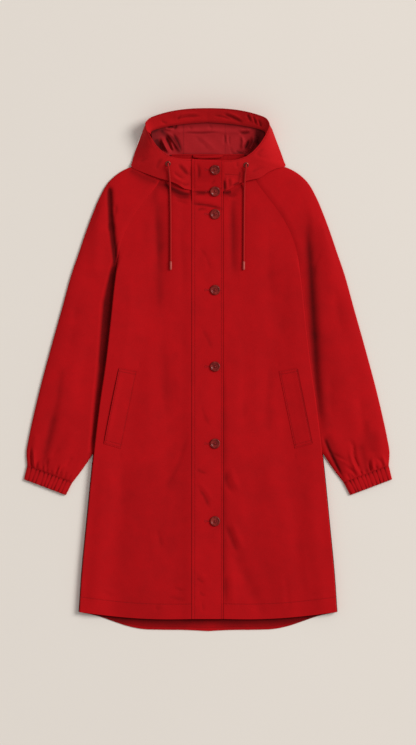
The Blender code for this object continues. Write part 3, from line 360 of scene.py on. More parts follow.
# Smaller creases, on the scene's thin cloth alone: width, height, then the points that each follows.
# Heights below zero are troughs. Sleeve creases have x measured outwards.
CREASES = {
    "fronts": [
        (3, -1.1, (-36, 362), (-58, 366), (-80, 374)),
        (3.4, 0.9, (-34, 354), (-56, 356), (-84, 364)),
        (2.8, -1, (-34, 346), (-52, 344), (-74, 350)),
        (3.6, -0.8, (-36, 330), (-52, 336), (-70, 340)),
        (9, -0.9, (-104, 330), (-99, 270), (-101, 190)),
        (12, 0.8, (-118, 320), (-115, 240), (-117, 150)),
        (8, -0.5, (-60, 300), (-52, 220), (-50, 150)),
        (10, 0.6, (-152, 200), (-158, 100), (-170, 10)),
        (14, 0.7, (-122, 60), (-118, -40), (-121, -160)),
        (14, -0.7, (-92, 120), (-86, 0), (-84, -140)),
        (12, 0.5, (-62, 60), (-58, -60), (-56, -150)),
        (10, -0.5, (-176, -170), (-170, -250), (-172, -330)),
        (9, 0.5, (-196, -170), (-194, -260), (-202, -360)),
        (4.5, -0.7, (-104, -312), (-96, -340), (-92, -362)),
        (7, 0.4, (-116, -300), (-112, -350), (-100, -390)),
        (3, -0.6, (-216, -444), (-202, -447), (-186, -452)),
        (3, 0.4, (-218, -436), (-200, -441), (-182, -446)),
        (3, -0.6, (-86, -450), (-60, -458), (-34, -462)),
        (2.6, -0.5, (-72, -432), (-60, -438), (-44, -442)),
        (3.4, -0.6, (-104, -468), (-102, -476), (-98, -484)),
        (6, -0.6, (-40, -120), (-60, -190), (-92, -250)),
        (3, -0.8, (34, 352), (46, 348), (62, 352)),
        (2.8, 0.6, (34, 344), (46, 341), (58, 343)),
        (7, -0.9, (46, 350), (49, 280), (48, 190)),
        (11, 0.7, (66, 330), (62, 260), (64, 170)),
        (12, -0.6, (120, 290), (124, 200), (130, 110)),
        (13, 0.7, (98, 80), (96, 0), (98, -120)),
        (12, -0.6, (74, 60), (72, -60), (74, -150)),
        (12, -0.6, (124, 40), (122, -60), (124, -160)),
        (5.5, -1.5, (34, -196), (38, -226), (52, -250)),
        (6.5, 1.3, (44, -190), (52, -220), (66, -246)),
        (5.5, -1.7, (33, -300), (44, -330), (62, -372)),
        (6, 1.2, (46, -296), (58, -330), (74, -366)),
        (5, -1.2, (34, -398), (36, -440), (34, -482)),
        (7, 0.8, (46, -392), (50, -436), (50, -478)),
        (6, -0.8, (150, -400), (158, -440), (160, -486)),
        (10, 0.6, (186, -300), (194, -380), (204, -470)),
        (3, -0.5, (196, -446), (212, -450), (232, -446)),
        (2.4, -0.6, (-176, -163), (-176, -170), (-175, -180)),
        (2.4, -0.5, (-140, 4), (-137, 10), (-136, 18)),
        (2.4, -0.5, (175, -163), (174, -172), (173, -182)),
        (2.4, -0.5, (141, 4), (140, 10), (141, 18)),
    ],
    "placket": [
        (2.8, -1.3, (-44, 356), (-20, 356), (2, 355), (24, 362), (36, 366)),
        (3.4, 0.8, (-34, 369), (-12, 368), (8, 372)),
        (3, -0.9, (-30, 350), (-14, 352), (0, 350)),
        (2.8, -1.5, (-42, 334), (-22, 332), (6, 328), (28, 321), (38, 315)),
        (3.2, 0.8, (-40, 341), (-14, 339), (10, 335), (34, 329)),
        (3, -0.8, (-24, 318), (-10, 322), (2, 318)),
        (3, -0.9, (-25, 420), (-19, 404), (-18, 390), (-22, 374)),
        (3.2, 0.5, (-28, 410), (-26, 400), (-27, 388)),
        (2.6, -0.5, (14, 384), (10, 374), (4, 368)),
        (4, -0.8, (-24, -232), (-8, -250), (6, -282)),
        (4.4, 0.6, (-26, -220), (-6, -238), (12, -268)),
        (3.6, -0.6, (-26, -196), (-12, -204), (2, -206)),
        (3.6, -0.7, (-27, -412), (-16, -420), (-4, -428)),
        (3.4, 0.4, (-26, -402), (-14, -410), (0, -418)),
        (3, -0.5, (-18, -440), (-12, -448), (-2, -452)),
        (3.2, -0.5, (-14, -462), (-10, -474), (-10, -486)),
        (5, -0.4, (-22, 250), (-6, 230), (8, 190)),
        (5, -0.4, (-18, 90), (-4, 70), (10, 34)),
        (5, -0.4, (-20, -60), (-6, -90), (8, -124)),
    ],
    "sleeve_right": [
        (3.2, -1.6, (186, 334), (185, 322), (186, 306)),
        (3, 0.8, (190, 330), (189, 318), (190, 304)),
        (3, -0.6, (240, 330), (228, 322), (222, 312)),
        (2.6, -0.7, (178, 262), (184, 246), (186, 232)),
        (2.6, -2.6, (352, -206), (354, -176), (355, -150)),
        (2.8, 1.5, (347, -206), (348, -176), (349, -152)),
        (2.2, -2, (344, -206), (342, -190), (340, -178)),
        (7.5, -1, (331, -204), (326, -178), (318, -138), (308, -92), (298, -40), (290, 4)),
        (2.4, -1.5, (334, -216), (331, -200), (328, -184)),
        (2.6, 1.4, (328, -216), (325, -200), (322, -184)),
        (2.2, -1.6, (350, -214), (350, -202), (349, -192)),
        (2.2, -1.5, (340, -214), (338, -204), (337, -194)),
        (2.2, -1.2, (296, -222), (294, -212), (291, -204)),
        (2.2, -1.1, (281, -226), (277, -216), (272, -208)),
        (2.4, -2.4, (321, -214), (323, -194), (319, -172)),
        (2.2, -1.6, (314, -214), (313, -204), (315, -198)),
        (2.6, -1.8, (307, -218), (301, -198), (297, -186)),
        (2.4, 1.2, (303, -218), (297, -200), (292, -186)),
        (2.4, -1.7, (301, -222), (295, -202), (290, -190)),
        (2.4, -1.2, (288, -222), (286, -210), (282, -200)),
        (3.2, -0.9, (285, -196), (277, -180), (268, -172)),
        (3.4, -0.7, (312, -176), (304, -160), (296, -152)),
        (3, -0.7, (258, -200), (252, -186), (246, -172)),
        (10, 0.5, (286, 40), (300, -20), (318, -90), (330, -150)),
        (10, -0.7, (262, 150), (268, 90), (280, 40)),
        (12, -0.7, (236, 60), (250, 0), (262, -70)),
    ],
    "sleeve_left": [
        (
            10.5, -2.5, (196, 330), (201, 268), (204, 205), (208, 139), (213, 66), (217, -6), (223, -70),
            (232, -136),
        ),
        (3.4, -2.3, (314, -210), (300, -192), (293, -174), (290, -150), (276, -134)),
        (3.4, 1.7, (308, -214), (294, -196), (286, -176), (283, -154)),
        (2.4, -2.4, (327, -210), (323, -192), (321, -176)),
        (2.6, 1.5, (333, -206), (330, -190), (328, -172)),
        (2.8, -1.7, (352, -206), (345, -183), (334, -172)),
        (2.4, 1.4, (356, -196), (352, -180), (346, -168)),
        (2.2, -1.9, (342, -206), (336, -194), (333, -188)),
        (2.2, -1.7, (320, -214), (317, -204), (314, -196)),
        (2.2, -1.6, (311, -216), (306, -206), (302, -198)),
        (2, 1.1, (315, -216), (311, -206), (308, -198)),
        (2.2, -1.4, (294, -222), (289, -214), (283, -206)),
        (2.2, -1.3, (351, -208), (349, -200), (346, -192)),
        (2.4, -1.9, (300, -220), (287, -200), (273, -193)),
        (2.8, -1.2, (282, -186), (258, -172), (243, -163)),
        (2.6, 0.9, (288, -194), (266, -180), (250, -172)),
        (2.8, -2.2, (228, -130), (241, -159), (256, -190), (272, -220)),
        (2.4, -1.5, (286, -224), (281, -212), (276, -206)),
        (9, -0.9, (243, 0), (246, -60), (250, -110)),
        (9, 0.8, (316, -90), (322, -120), (326, -168)),
        (9, -0.8, (300, -40), (306, -90), (312, -140)),
        (6, -0.9, (226, 240), (214, 210), (210, 176)),
        (10, -0.8, (250, 180), (260, 120), (270, 60)),
        (3, -0.8, (222, 292), (226, 300), (232, 312)),
        (9, 0.7, (206, 330), (209, 300), (212, 262)),
    ],
    "hood_side_right": [
        (4.2, -1.4, (-62, 412), (-50, 400), (-38, 386)),
        (4, 1, (-56, 414), (-44, 402), (-36, 392)),
        (4, -1.2, (-46, 380), (-58, 386), (-72, 398)),
        (4.4, 1, (-42, 372), (-56, 378), (-74, 388)),
        (3.2, -1.1, (-34, 374), (-44, 370), (-56, 372)),
        (5, -0.8, (-92, 424), (-100, 410), (-104, 396)),
        (6, 0.9, (-132, 424), (-120, 432), (-112, 444)),
        (5, -0.9, (-142, 412), (-128, 420), (-114, 434)),
        (3, -0.7, (-120, 470), (-117, 458), (-113, 446)),
    ],
    "hood_side_left": [
        (3, -1.2, (33, 378), (33, 370), (34, 356)),
        (3.4, 1.5, (37, 390), (37, 374), (38, 358)),
        (2.6, -0.9, (42, 386), (42, 376), (43, 362)),
        (3.6, 1.2, (49, 384), (48, 374), (50, 366)),
        (3.2, -0.8, (60, 418), (58, 410), (60, 402)),
        (5, -0.7, (92, 426), (104, 436), (112, 446)),
        (6, 0.8, (100, 416), (116, 426), (128, 438)),
        (4, -0.7, (84, 392), (98, 400), (112, 404)),
        (4, -0.6, (96, 432), (108, 424), (126, 420)),
    ],
    "hood_facing_right": [
        (3, -1, (-8, 506), (-40, 506), (-70, 500)),
        (3, 0.8, (-10, 512), (-44, 511), (-74, 504)),
        (2.4, -0.8, (-52, 514), (-58, 506), (-60, 496)),
        (2.4, -0.8, (-96, 500), (-88, 494), (-80, 490)),
    ],
    "hood_facing_left": [
        (3.4, -1.8, (26, 512), (46, 506), (62, 498), (72, 490)),
        (3.2, 1.4, (34, 514), (54, 507), (70, 498)),
        (2.8, -1.8, (76, 512), (82, 504), (86, 494)),
        (2.8, 1.4, (81, 511), (88, 502), (92, 492)),
        (2.6, -1.8, (86, 508), (93, 499), (97, 488)),
        (2.6, 1.3, (91, 506), (98, 497), (102, 486)),
        (2.6, -1.6, (97, 502), (103, 493), (107, 482)),
        (2.4, -0.9, (8, 508), (30, 505), (48, 498)),
    ],
    "lining": [
        # flat middle
        (2.2, -1.2, (-56, 474), (-20, 473), (16, 474), (32, 472)),
        (2.4, 0.9, (-56, 479), (-20, 478), (20, 479), (34, 477)),
        (1.8, -0.9, (32, 474), (33, 460), (32, 450)),
        (2.2, 1, (38, 474), (38, 460), (40, 448)),
        (1.8, -0.9, (43, 470), (42, 458), (44, 448)),
        (2, -0.9, (44, 446), (47, 438), (48, 431)),
        (3.6, -0.5, (-30, 470), (-10, 452), (4, 436)),
        (3.6, 0.4, (-18, 468), (2, 452), (18, 436)),
        (3, -0.6, (0, 490), (6, 484), (10, 480)),
        (3, -0.6, (-40, 488), (-34, 482), (-32, 478)),
        # bunches beside it
        (4.6, 6.5, (-95, 466), (-90, 456), (-84, 444), (-78, 432)),
        (3, -2.8, (-86, 470), (-81, 458), (-75, 446), (-70, 434)),
        (4, 4.6, (-84, 476), (-74, 464), (-64, 450), (-56, 436)),
        (2.8, -3, (-72, 474), (-64, 462), (-57, 448), (-53, 436)),
        (3, 2.6, (-76, 458), (-72, 448), (-68, 438)),
        (2.6, -2.4, (-84, 482), (-76, 486), (-66, 484)),
        (2.6, 2, (-90, 486), (-80, 481), (-68, 480)),
        (2.4, -2, (-70, 480), (-64, 486), (-62, 492)),
        (3, -2.2, (-104, 452), (-98, 440), (-92, 432)),
        (4.6, 6, (88, 470), (90, 458), (84, 444), (76, 432)),
        (3.2, -3.4, (82, 462), (78, 450), (72, 440)),
        (3.4, 2.4, (66, 470), (70, 456), (66, 440)),
        (2.6, -2, (60, 474), (72, 473), (86, 475)),
        (2.6, 1.6, (58, 480), (72, 479), (88, 480)),
        (2.6, -2.4, (98, 470), (100, 458), (98, 446)),
        (2.4, -1.6, (54, 440), (62, 436), (72, 434)),
    ],
    "back": [
        (16, 0.9, (-120, 300), (-110, 100), (-130, -120)),
        (14, 0.8, (90, 260), (104, 60), (96, -160)),
        (12, 1, (-40, 120), (-30, -60), (-44, -240)),
        (16, 0.9, (30, -160), (44, -300), (36, -420)),
        (14, 0.8, (-150, -180), (-164, -320), (-170, -430)),
        (12, 0.9, (150, -120), (164, -280), (182, -410)),
        (9, 0.8, (-70, 330), (-20, 340), (40, 330)),
        (10, 0.7, (-60, 360), (0, 372), (60, 362)),
    ],
    "sleeve_under": [
        (12, 0.9, (214, 280), (226, 180), (240, 90)),
        (12, 0.8, (246, 60), (268, -30), (290, -110)),
        (8, 0.8, (268, -120), (290, -170), (300, -206)),
        (7, 0.7, (318, -120), (330, -170), (334, -196)),
    ],
}

# How strongly the creases of each cloth show, then its faint rumples: height, spacing, seed
FINE = {
    "fronts": (1.3, (0.2, 46.0, 3), (0.07, 17.0, 4)),
    "placket": (1.3, (0.14, 26.0, 91)),
    "sleeve_right": (1.5, (0.18, 44.0, 10), (0.06, 16.0, 20)),
    "sleeve_left": (1.5, (0.18, 44.0, 12), (0.06, 16.0, 22)),
    "hood_side_right": (1.1, (0.35, 34.0, 40)),
    "hood_side_left": (1.1, (0.35, 34.0, 42)),
    "hood_facing_right": (1.5, (0.3, 26.0, 60)),
    "hood_facing_left": (1.5, (0.3, 26.0, 62)),
    "lining": (1.5, (0.35, 24.0, 71)),
}

# Bands that lie in shade: width, depth of shade, then the points that each one follows
SHADES = {
    "front_right": [
        (9, 0.6, (-132, 386), (-112, 378), (-92, 370), (-76, 362), (-60, 354), (-46, 348), (-30, 344)),
        (4, 0.7, (-90, 374), (-76, 366), (-62, 358), (-48, 353), (-32, 351)),
        (70, 0.13, (-120, -170), (-125, -330), (-130, -570)),
        (11, 0.3, (-104, 384), (-105, 340), (-101, 290), (-97, 200), (-95, 110)),
    ],
    "front_left": [
        (6, 0.3, (33, 20), (33, -120), (33, -300), (33, -490)),
        (60, 0.08, (112, -190), (116, -340), (120, -570)),
        (3.4, 1, (28, 355.6), (38, 355), (47, 357)),
        (7, 0.35, (28, 350), (44, 351), (58, 360), (72, 370)),
        (9, 0.25, (51, 350), (52, 280), (54, 190)),
    ],
    "sleeve_right": [
        (5, 1, (-197, 376), (-195, 330), (-192.5, 290), (-189.5, 255), (-187, 232), (-187.5, 205)),
        (8, 1, (-186, 215), (-190, 180), (-196, 140), (-204, 80), (-214, 0)),
        (9, 0.26, (-288, 14), (-298, -40), (-308, -92), (-318, -138), (-327, -180), (-332, -204)),
        (9, 0.5, (-158, 402), (-132, 387), (-114, 380), (-98, 373)),
    ],
    "sleeve_left": [
        (
            *(9.5, 0.4, (198, 300), (202, 240), (205, 205), (209, 139)),
            *((213, 66), (216, -6), (221, -70), (230, -130)),
        ),
        (18, 0.26, (197, 330), (204, 240), (212, 139), (218, 66), (224, -6), (231, -70), (243, -140)),
        (4, 0.6, (234, -134), (243, -158), (255, -184), (268, -210)),
        (9, 0.22, (318, -96), (325, -132), (331, -168)),
    ],
    "hood_side_left": [
        (2.8, 1, (32.5, 380), (33, 366), (33.5, 352)),
        (2.4, 0.3, (42, 384), (42, 374), (43, 362)),
        (2.6, 0.8, (50, 369), (57, 372), (64, 376)),
        (2.6, 0.6, (61, 376), (63, 386), (64, 396)),
    ],
    "hood_lining": [
        (7, 0.8, (-96, 482), (-84, 470), (-66, 458), (-58, 440), (-54, 432)),
        (5, 0.7, (-104, 462), (-98, 450), (-90, 436)),
        (6, 0.8, (100, 482), (98, 466), (88, 452), (78, 438)),
        (4, 0.5, (48, 434), (60, 432), (78, 431)),
        (3, 0.4, (-60, 432), (-30, 431), (0, 431), (30, 431)),
    ],
}


def puff(distance, roll):
    """Quarter-round rise from 0 at an edge to 1 at the given distance inside it."""
    part = np.clip(np.asarray(distance, float) / roll, 0.0, 1.0)
    return np.sqrt(1.0 - (1.0 - part) ** 2)


def ease(value):
    """Smooth step from 0 to 1."""
    part = np.clip(np.asarray(value, float), 0.0, 1.0)
    return part * part * (3.0 - 2.0 * part)


def smooth_curve(points, count):
    """Evenly spaced points on a smooth curve through the given ones."""
    given = np.array(points, float)
    steps = np.linalg.norm(np.diff(given, axis=0), axis=1)
    knots = np.concatenate([[0.0], np.cumsum(steps)])
    slopes = np.gradient(given, knots, axis=0)
    wanted = np.linspace(0.0, knots[-1], count)
    place = np.clip(np.searchsorted(knots, wanted, "right") - 1, 0, len(given) - 2)
    span = (knots[place + 1] - knots[place])[:, None]
    t = (wanted - knots[place])[:, None] / span
    start = (2 * t**3 - 3 * t**2 + 1) * given[place]
    leave = (t**3 - 2 * t**2 + t) * span * slopes[place]
    end = (3 * t**2 - 2 * t**3) * given[place + 1]
    arrive = (t**3 - t**2) * span * slopes[place + 1]
    return start + leave + end + arrive


def fold_relief(x, y, folds):
    """Sum of broad straight folds, each fading at its ends."""
    relief = np.zeros_like(np.asarray(x, float))
    for x0, y0, x1, y1, width, height in folds:
        run = np.array((x1 - x0, y1 - y0))
        length = np.hypot(*run)
        along = ((x - x0) * run[0] + (y - y0) * run[1]) / length**2
        aside = ((x - x0) * run[1] - (y - y0) * run[0]) / length
        fade = within(along, (-0.1, 0.2), (1.1, 0.2))
        relief = relief + height * np.exp(-((aside / width) ** 2)) * fade
    return relief


def crease_relief(x, y, creases, fading=0.35):
    """Sum of creases that follow curves, each thinner and lower towards its ends."""
    x, y = np.broadcast_arrays(x, y)
    relief = np.zeros(x.shape)
    for width, height, *path in creases:
        line = smooth_curve(path, 25)
        low_x, low_y = line.min(axis=0) - 3.0 * width
        high_x, high_y = line.max(axis=0) + 3.0 * width
        near = (x > low_x) & (x < high_x) & (y > low_y) & (y < high_y)
        if not near.any():
            continue
        spot = np.stack([x[near], y[near]], axis=1)[:, None]
        start = line[:-1]
        run = line[1:] - start
        part = np.clip(((spot - start) * run).sum(2) / (run**2).sum(1), 0.0, 1.0)
        away = np.linalg.norm(spot - (start + part[..., None] * run), axis=2)
        nearest = away.argmin(axis=1)
        rows = np.arange(len(nearest))
        along = (nearest + part[rows, nearest]) / len(run)
        fade = within(along, (0.0, fading), (1.0, fading))
        spread = width * (0.6 + 0.4 * np.sin(np.pi * along))
        relief[near] += height * fade * np.exp(-((away[rows, nearest] / spread) ** 1.7))
    return relief


def within(value, low, high):
    """1 between two limits and 0 beyond them; each limit has the width of its fade."""
    (low_end, low_fade), (high_end, high_fade) = low, high
    return ease((value - low_end) / low_fade) * ease((high_end - value) / high_fade)


def trough_shade(relief, depth):
    """Painted shade for the bottom of the troughs of a relief, none on its level parts and ridges."""
    return 0.8 * np.clip(-relief / depth, 0.0, 1.0)


def shades(x, y, sheet):
    """How deep in shade each place of a sheet lies, from soft bands along curves."""
    return crease_relief(x, y, SHADES.get(sheet, []), 0.12)


def run_over(points, axis):
    """Distance of each point of a grid from its first row or column, measured over the cloth."""
    first = np.take(points, [0], axis)
    return np.linalg.norm(np.diff(points, axis=axis, prepend=first), axis=2).cumsum(axis=axis)


def between(start, end, part):
    """Place at a part of the way from one place to another."""
    return np.array(start) * (1.0 - part) + np.array(end) * part


def near_to(values, middle, width):
    """1 where the values are at the middle, fading smoothly to either side."""
    return np.exp(-(((values - middle) / width) ** 2))


def rumple(x, y, height, spacing, seed):
    """Faint unevenness of cloth that has been folded and worn."""
    chance = np.random.default_rng(seed)
    relief = 0.0
    for _ in range(9):
        turn = chance.uniform(0.0, np.pi)
        wave = chance.uniform(0.7, 1.7) * spacing
        phase = chance.uniform(0.0, 2.0 * np.pi)
        relief = relief + np.sin((x * np.cos(turn) + y * np.sin(turn)) * 2.0 * np.pi / wave + phase)
    return relief * height / 4.0


def fine_relief(x, y, cloth):
    """Creases and rumples of one piece of cloth."""
    strength, *rumples = FINE[cloth]
    relief = strength * crease_relief(x, y, CREASES[cloth])
    for height, spacing, seed in rumples:
        relief = relief + rumple(x, y, height, spacing, seed)
    return relief


def calm_by(x, y, places, reach):
    """1 far from some places and 0 at them."""
    calm = 1.0
    for place_x, place_y in places:
        calm = calm * (1.0 - np.exp(-(((x - place_x) ** 2 + (y - place_y) ** 2) / reach**2)))
    return calm


def lowered_under(relief, covered):
    """Relief whose ridges fade where something lies on the cloth; troughs stay."""
    return np.where(relief > 0.0, relief * (1.0 - covered), relief)


def past(place, y):
    """0 below a place given as its start and length, rising smoothly to 1 beyond it."""
    start, length = place
    return ease((y - start) / length)


def raglan_height(y, side_name):
    """Height of the seam between sleeve and front."""
    return UPPER_EDGE + (RAGLAN_TOP - UPPER_EDGE) * past(RAGLAN_RISE[side_name], y)


def below_armpit(y):
    """1 where body and sleeve are separate, fading to 0 along the raglan seam."""
    return 1.0 - past(ARMPIT_FADE, y)


def beside_body(y):
    """1 where the sleeve's inner edge lies along the body, 0 at the raglan seam and cuff."""
    return below_armpit(y) * past(SLEEVE_FREE_FADE, y)


def under_cord(x, y):
    """1 along the two hanging cords, 0 away from them."""
    aside = np.minimum(*(np.abs(x - cord_x) for cord_x in HANGING_CORD_X))
    return near_to(aside, 0.0, HANGING_CORD_SHADE) * past(HANGING_CORD_START, y)


def front_height(x, y, inside, side_name="left"):
    """Upper face of a front panel, and the painted shade in its troughs and shaded bands; inside is the
    distance from its side edge.
    """
    free = below_armpit(y)
    edge = raglan_height(y, side_name) + SIDE_LIFT[side_name] * free
    ridge = SIDE_RIDGE * free * (1.0 - past(SIDE_RIDGE_FALL, inside))
    height = edge + (FRONT_TOP + ridge - edge) * puff(inside, BODY_ROLL + (SIDE_ROLL - BODY_ROLL) * free)
    broad = fold_relief(x, y, FRONT_FOLDS) * ease(inside / FRONT_FOLDS_FADE)
    fine = fine_relief(x, y, "fronts")
    height = height + broad + lowered_under(fine, under_cord(x, y)) * ease(inside / FRONT_CREASES_FADE)
    # Painted shade in the troughs of the front's creases and in its shaded bands
    hollow = 0.8 * trough_shade(fine + 0.4 * broad + 0.3, 2.6) + shades(x, y, "front_" + side_name)
    return np.maximum(height, UPPER_EDGE), np.minimum(hollow, 1.0)


FRONT_ROWS = 236
RAGLAN_ROWS = 66
FRONT_EDGE = np.concatenate([smooth_curve(SIDE_EDGE, FRONT_ROWS), smooth_curve(RAGLAN_SEAM, RAGLAN_ROWS)[1:]])
FRONT_MIDDLE = np.interp(
    FRONT_EDGE[:, 1],
    (SIDE_EDGE[0][1], SIDE_EDGE[-1][1], RAGLAN_SEAM[-1][1]),
    (FRONT_HEM_CENTRE_Y, FRONT_ARMPIT_Y, FRONT_NECK_Y),
)


def front_sheet(side_name):
    """Outer face of a front panel; the left one runs on under the placket."""
    side = SIDES[side_name]
    lapped = side > 0
    start = PLACKET_LEFT_X if lapped else SEAM_OPEN - PLACKET_RIGHT_X
    edge_x = FRONT_EDGE[:, :1]
    edge_y = FRONT_EDGE[:, 1:]
    middle = FRONT_MIDDLE[:, None]
    spread = np.linspace(0.0, 1.0, 62) * (edge_x - EDGE_BAND - start) + start
    close = edge_x - EDGE_BAND * (1.0 - np.linspace(0.0, 1.0, 20)[1:]) ** 2.2
    across = np.concatenate([spread, close], axis=1)
    y = middle + (edge_y - middle) * (across - start) / (edge_x - start)
    if lapped:
        under = np.linspace(PLACKET_RIGHT_X, PLACKET_LEFT_X, 21)[:-1]
        across = np.concatenate([np.broadcast_to(under, (len(y), len(under))), across], axis=1)
        y = np.concatenate([np.broadcast_to(middle, (len(y), len(under))), y], axis=1)
    hem = ease((SIDE_EDGE[0][1] + HEM_BLEND - edge_y) / HEM_BLEND)
    y = y - FRONT_HEM_SAG * hem * np.sin(math.pi * np.clip(across / edge_x, 0.0, 1.0))
    x = side * across
    z, hollow = front_height(x, y, edge_x - across, side_name)
    if not lapped:
        near = 1.0 - ease((across - start) / PLACKET_BLEND)
        z = z + (PLACKET_LIFT - SEAM_GAP) * near * (1.0 - past(HOOD_OVER_FRONT, y))
    rows = {
        "row_1": y - (y[:1] + HEM_DEPTH),
        "hollow": hollow,
        # slit_1 and slit_2 place painted shadow lines: at the pocket opening beside the welt's outer edge,
        # and beside the placket, under its lifted edge on the left front and in its seam on the right front
        "slit_1": welt_shadow_line(side * x, y),
        "slit_2": across - start - PLACKET_SHADOW_OFFSET,
    }
    return facing_up(side, x, y, z, rows)


def welt_shadow_line(x, y):
    """Distance across from the outer long edge of a pocket welt, for the painted shadow line at its opening;
    great beyond its ends.
    """
    top_x, top_y = WELT_CORNERS["outer_top"]
    low_x, low_y = WELT_CORNERS["outer_low"]
    aside = x - 0.5 - top_x - (low_x - top_x) * (y - top_y) / (low_y - top_y)
    return np.where((y < top_y) & (y > low_y), aside, np.copysign(NONE_NEAR, aside))


def facing_up(side, x, y, z, rows):
    """Sheet with columns that run from left to right, so that its outer face looks up."""
    turned = np.s_[:, :: 1 if side > 0 else -1]
    points = np.stack(np.broadcast_arrays(x, y, z), axis=2)
    return points[turned], {key: value[turned] for key, value in rows.items()}


def sleeve_sheet(side_name):
    """One-piece sleeve: upper layer, outer fold and under layer, open along the inner edge."""
    side = SIDES[side_name]
    beside_gap = SIDE_GAP[side_name] - SEAM_OPEN
    raglan = smooth_curve(RAGLAN_SEAM, RAGLAN_ROWS)[::-1]
    raglan[:, 0] += SEAM_OPEN + beside_gap * below_armpit(raglan[:, 1])
    shoulder = smooth_curve(SLEEVE_SHOULDER, RAGLAN_ROWS)[::-1]
    arm = smooth_curve(SLEEVE_ARM, 190)[1:]
    beside_x = np.interp(arm[:, 1], *FRONT_EDGE.T[::-1])
    beside_x = beside_x + SEAM_OPEN + beside_gap * below_armpit(arm[:, 1])
    arm[:, 0] += (beside_x - arm[:, 0]) * past(SLEEVE_BESIDE_BODY, arm[:, 1])
    sections = np.concatenate([np.concatenate([raglan, shoulder], axis=1), arm])
    inner = sections[:, None, :2]
    outer = sections[:, None, 2:]
    width = np.linalg.norm(outer - inner, axis=2)
    across = 0.5 - 0.5 * np.cos(math.pi * np.linspace(0.0, 1.0, 56))
    across = 0.55 * across + 0.45 * np.linspace(0.0, 1.0, 56)
    place = inner + (outer - inner) * across[:, None]
    x, y = place[..., 0], place[..., 1]
    inner_y = inner[..., 1]
    from_inner = across * width
    from_outer = (1.0 - across) * width

    # Upper layer: rising from the inner edge, rolling over at the outer one and at the cuff
    inner_edge = raglan_height(inner_y, side_name)
    top = inner_edge + (SLEEVE_TOP - inner_edge) * np.minimum(1.0, width / 40.0)
    part = np.clip(from_inner / SLEEVE_INNER_ROLL, 0.0, 1.0)
    steep = part * (2.0 - part)
    rise_y, rise_start, rise_length = zip(*SLEEVE_INNER_RISE[side_name])
    start = np.interp(inner_y, rise_y, rise_start)
    length = np.interp(inner_y, rise_y, rise_length)
    gentle = ease((from_inner - start) / length)
    inner_fall = (top - inner_edge) * (1.0 - steep + (steep - gentle) * beside_body(inner_y))
    outer_roll = np.minimum(SLEEVE_OUTER_ROLL, 0.6 * width)
    outer_fall = (top - UPPER_EDGE) * (1.0 - puff(from_outer / outer_roll, 1.0))
    relief = fold_relief(x, y, SLEEVE_FOLDS[side_name]) * ease(from_inner / 8.0) * ease(from_outer / 13.0)
    fine = fine_relief(x, y, "sleeve_" + side_name) * ease(from_inner / 5.0) * ease(from_outer / 6.0)
    z = top - inner_fall - outer_fall + relief + lowered_under(fine, past(HOOD_OVER_SLEEVE, y))
    middle = 0.5 * (inner + outer)[:, 0]
    to_cuff = np.linalg.norm(np.diff(middle, axis=0), axis=1)[::-1].cumsum()[::-1]
    to_cuff = np.append(to_cuff, 0.0)[:, None]
    z = z - np.maximum(z - CUFF_SEAM_TOP, 0.0) * (1.0 - puff(to_cuff, CUFF_SEAM_ROLL))
    layers = [np.stack([side * x, y, np.maximum(z, UPPER_EDGE)], axis=2)]

    # Outer fold, then the under layer, which stops short of the inner edge
    step = (inner - outer) / width[..., None]
    for inward, height in SLEEVE_TURN:
        spot = outer + step * inward
        layers.append(np.stack([side * spot[..., 0], spot[..., 1], np.full_like(width, height)], axis=2))
    turn_end = SLEEVE_TURN[-1][0]
    short = turn_end + UNDER_GAP + max(-beside_gap, 0.0)
    part = np.linspace(0.0, 1.0, 30)[1:]
    spot = outer + (inner - outer) * (turn_end / width + (1.0 - short / width) * part)[..., None]
    dent = crease_relief(spot[..., 0], spot[..., 1], CREASES["sleeve_under"])
    dent = dent * within(part * width, (0.0, SLEEVE_DENT_FADE), (width, SLEEVE_DENT_FADE))
    layers.append(np.stack([side * spot[..., 0], spot[..., 1], np.maximum(dent, 0.0)], axis=2))
    points = np.concatenate(layers, axis=1)

    # Painted shade in the sleeve's troughs and shaded bands, and the painted shadow that the body's edge
    # casts on the right sleeve's strip beside it
    hollow = np.zeros(points.shape[:2])
    beside = (1.0 - ease((from_inner - start) / (0.8 * length))) * beside_body(inner_y) * (side < 0)
    deep = trough_shade(relief + 0.6 * fine + 0.3, 4.4) + 0.9 * beside
    deep = deep + shades(side * x, y, "sleeve_" + side_name)
    hollow[:, : len(across)] = np.minimum(deep, 1.0)
    return facing_up(side, *points[::-1].transpose(2, 0, 1), {"hollow": hollow[::-1]})


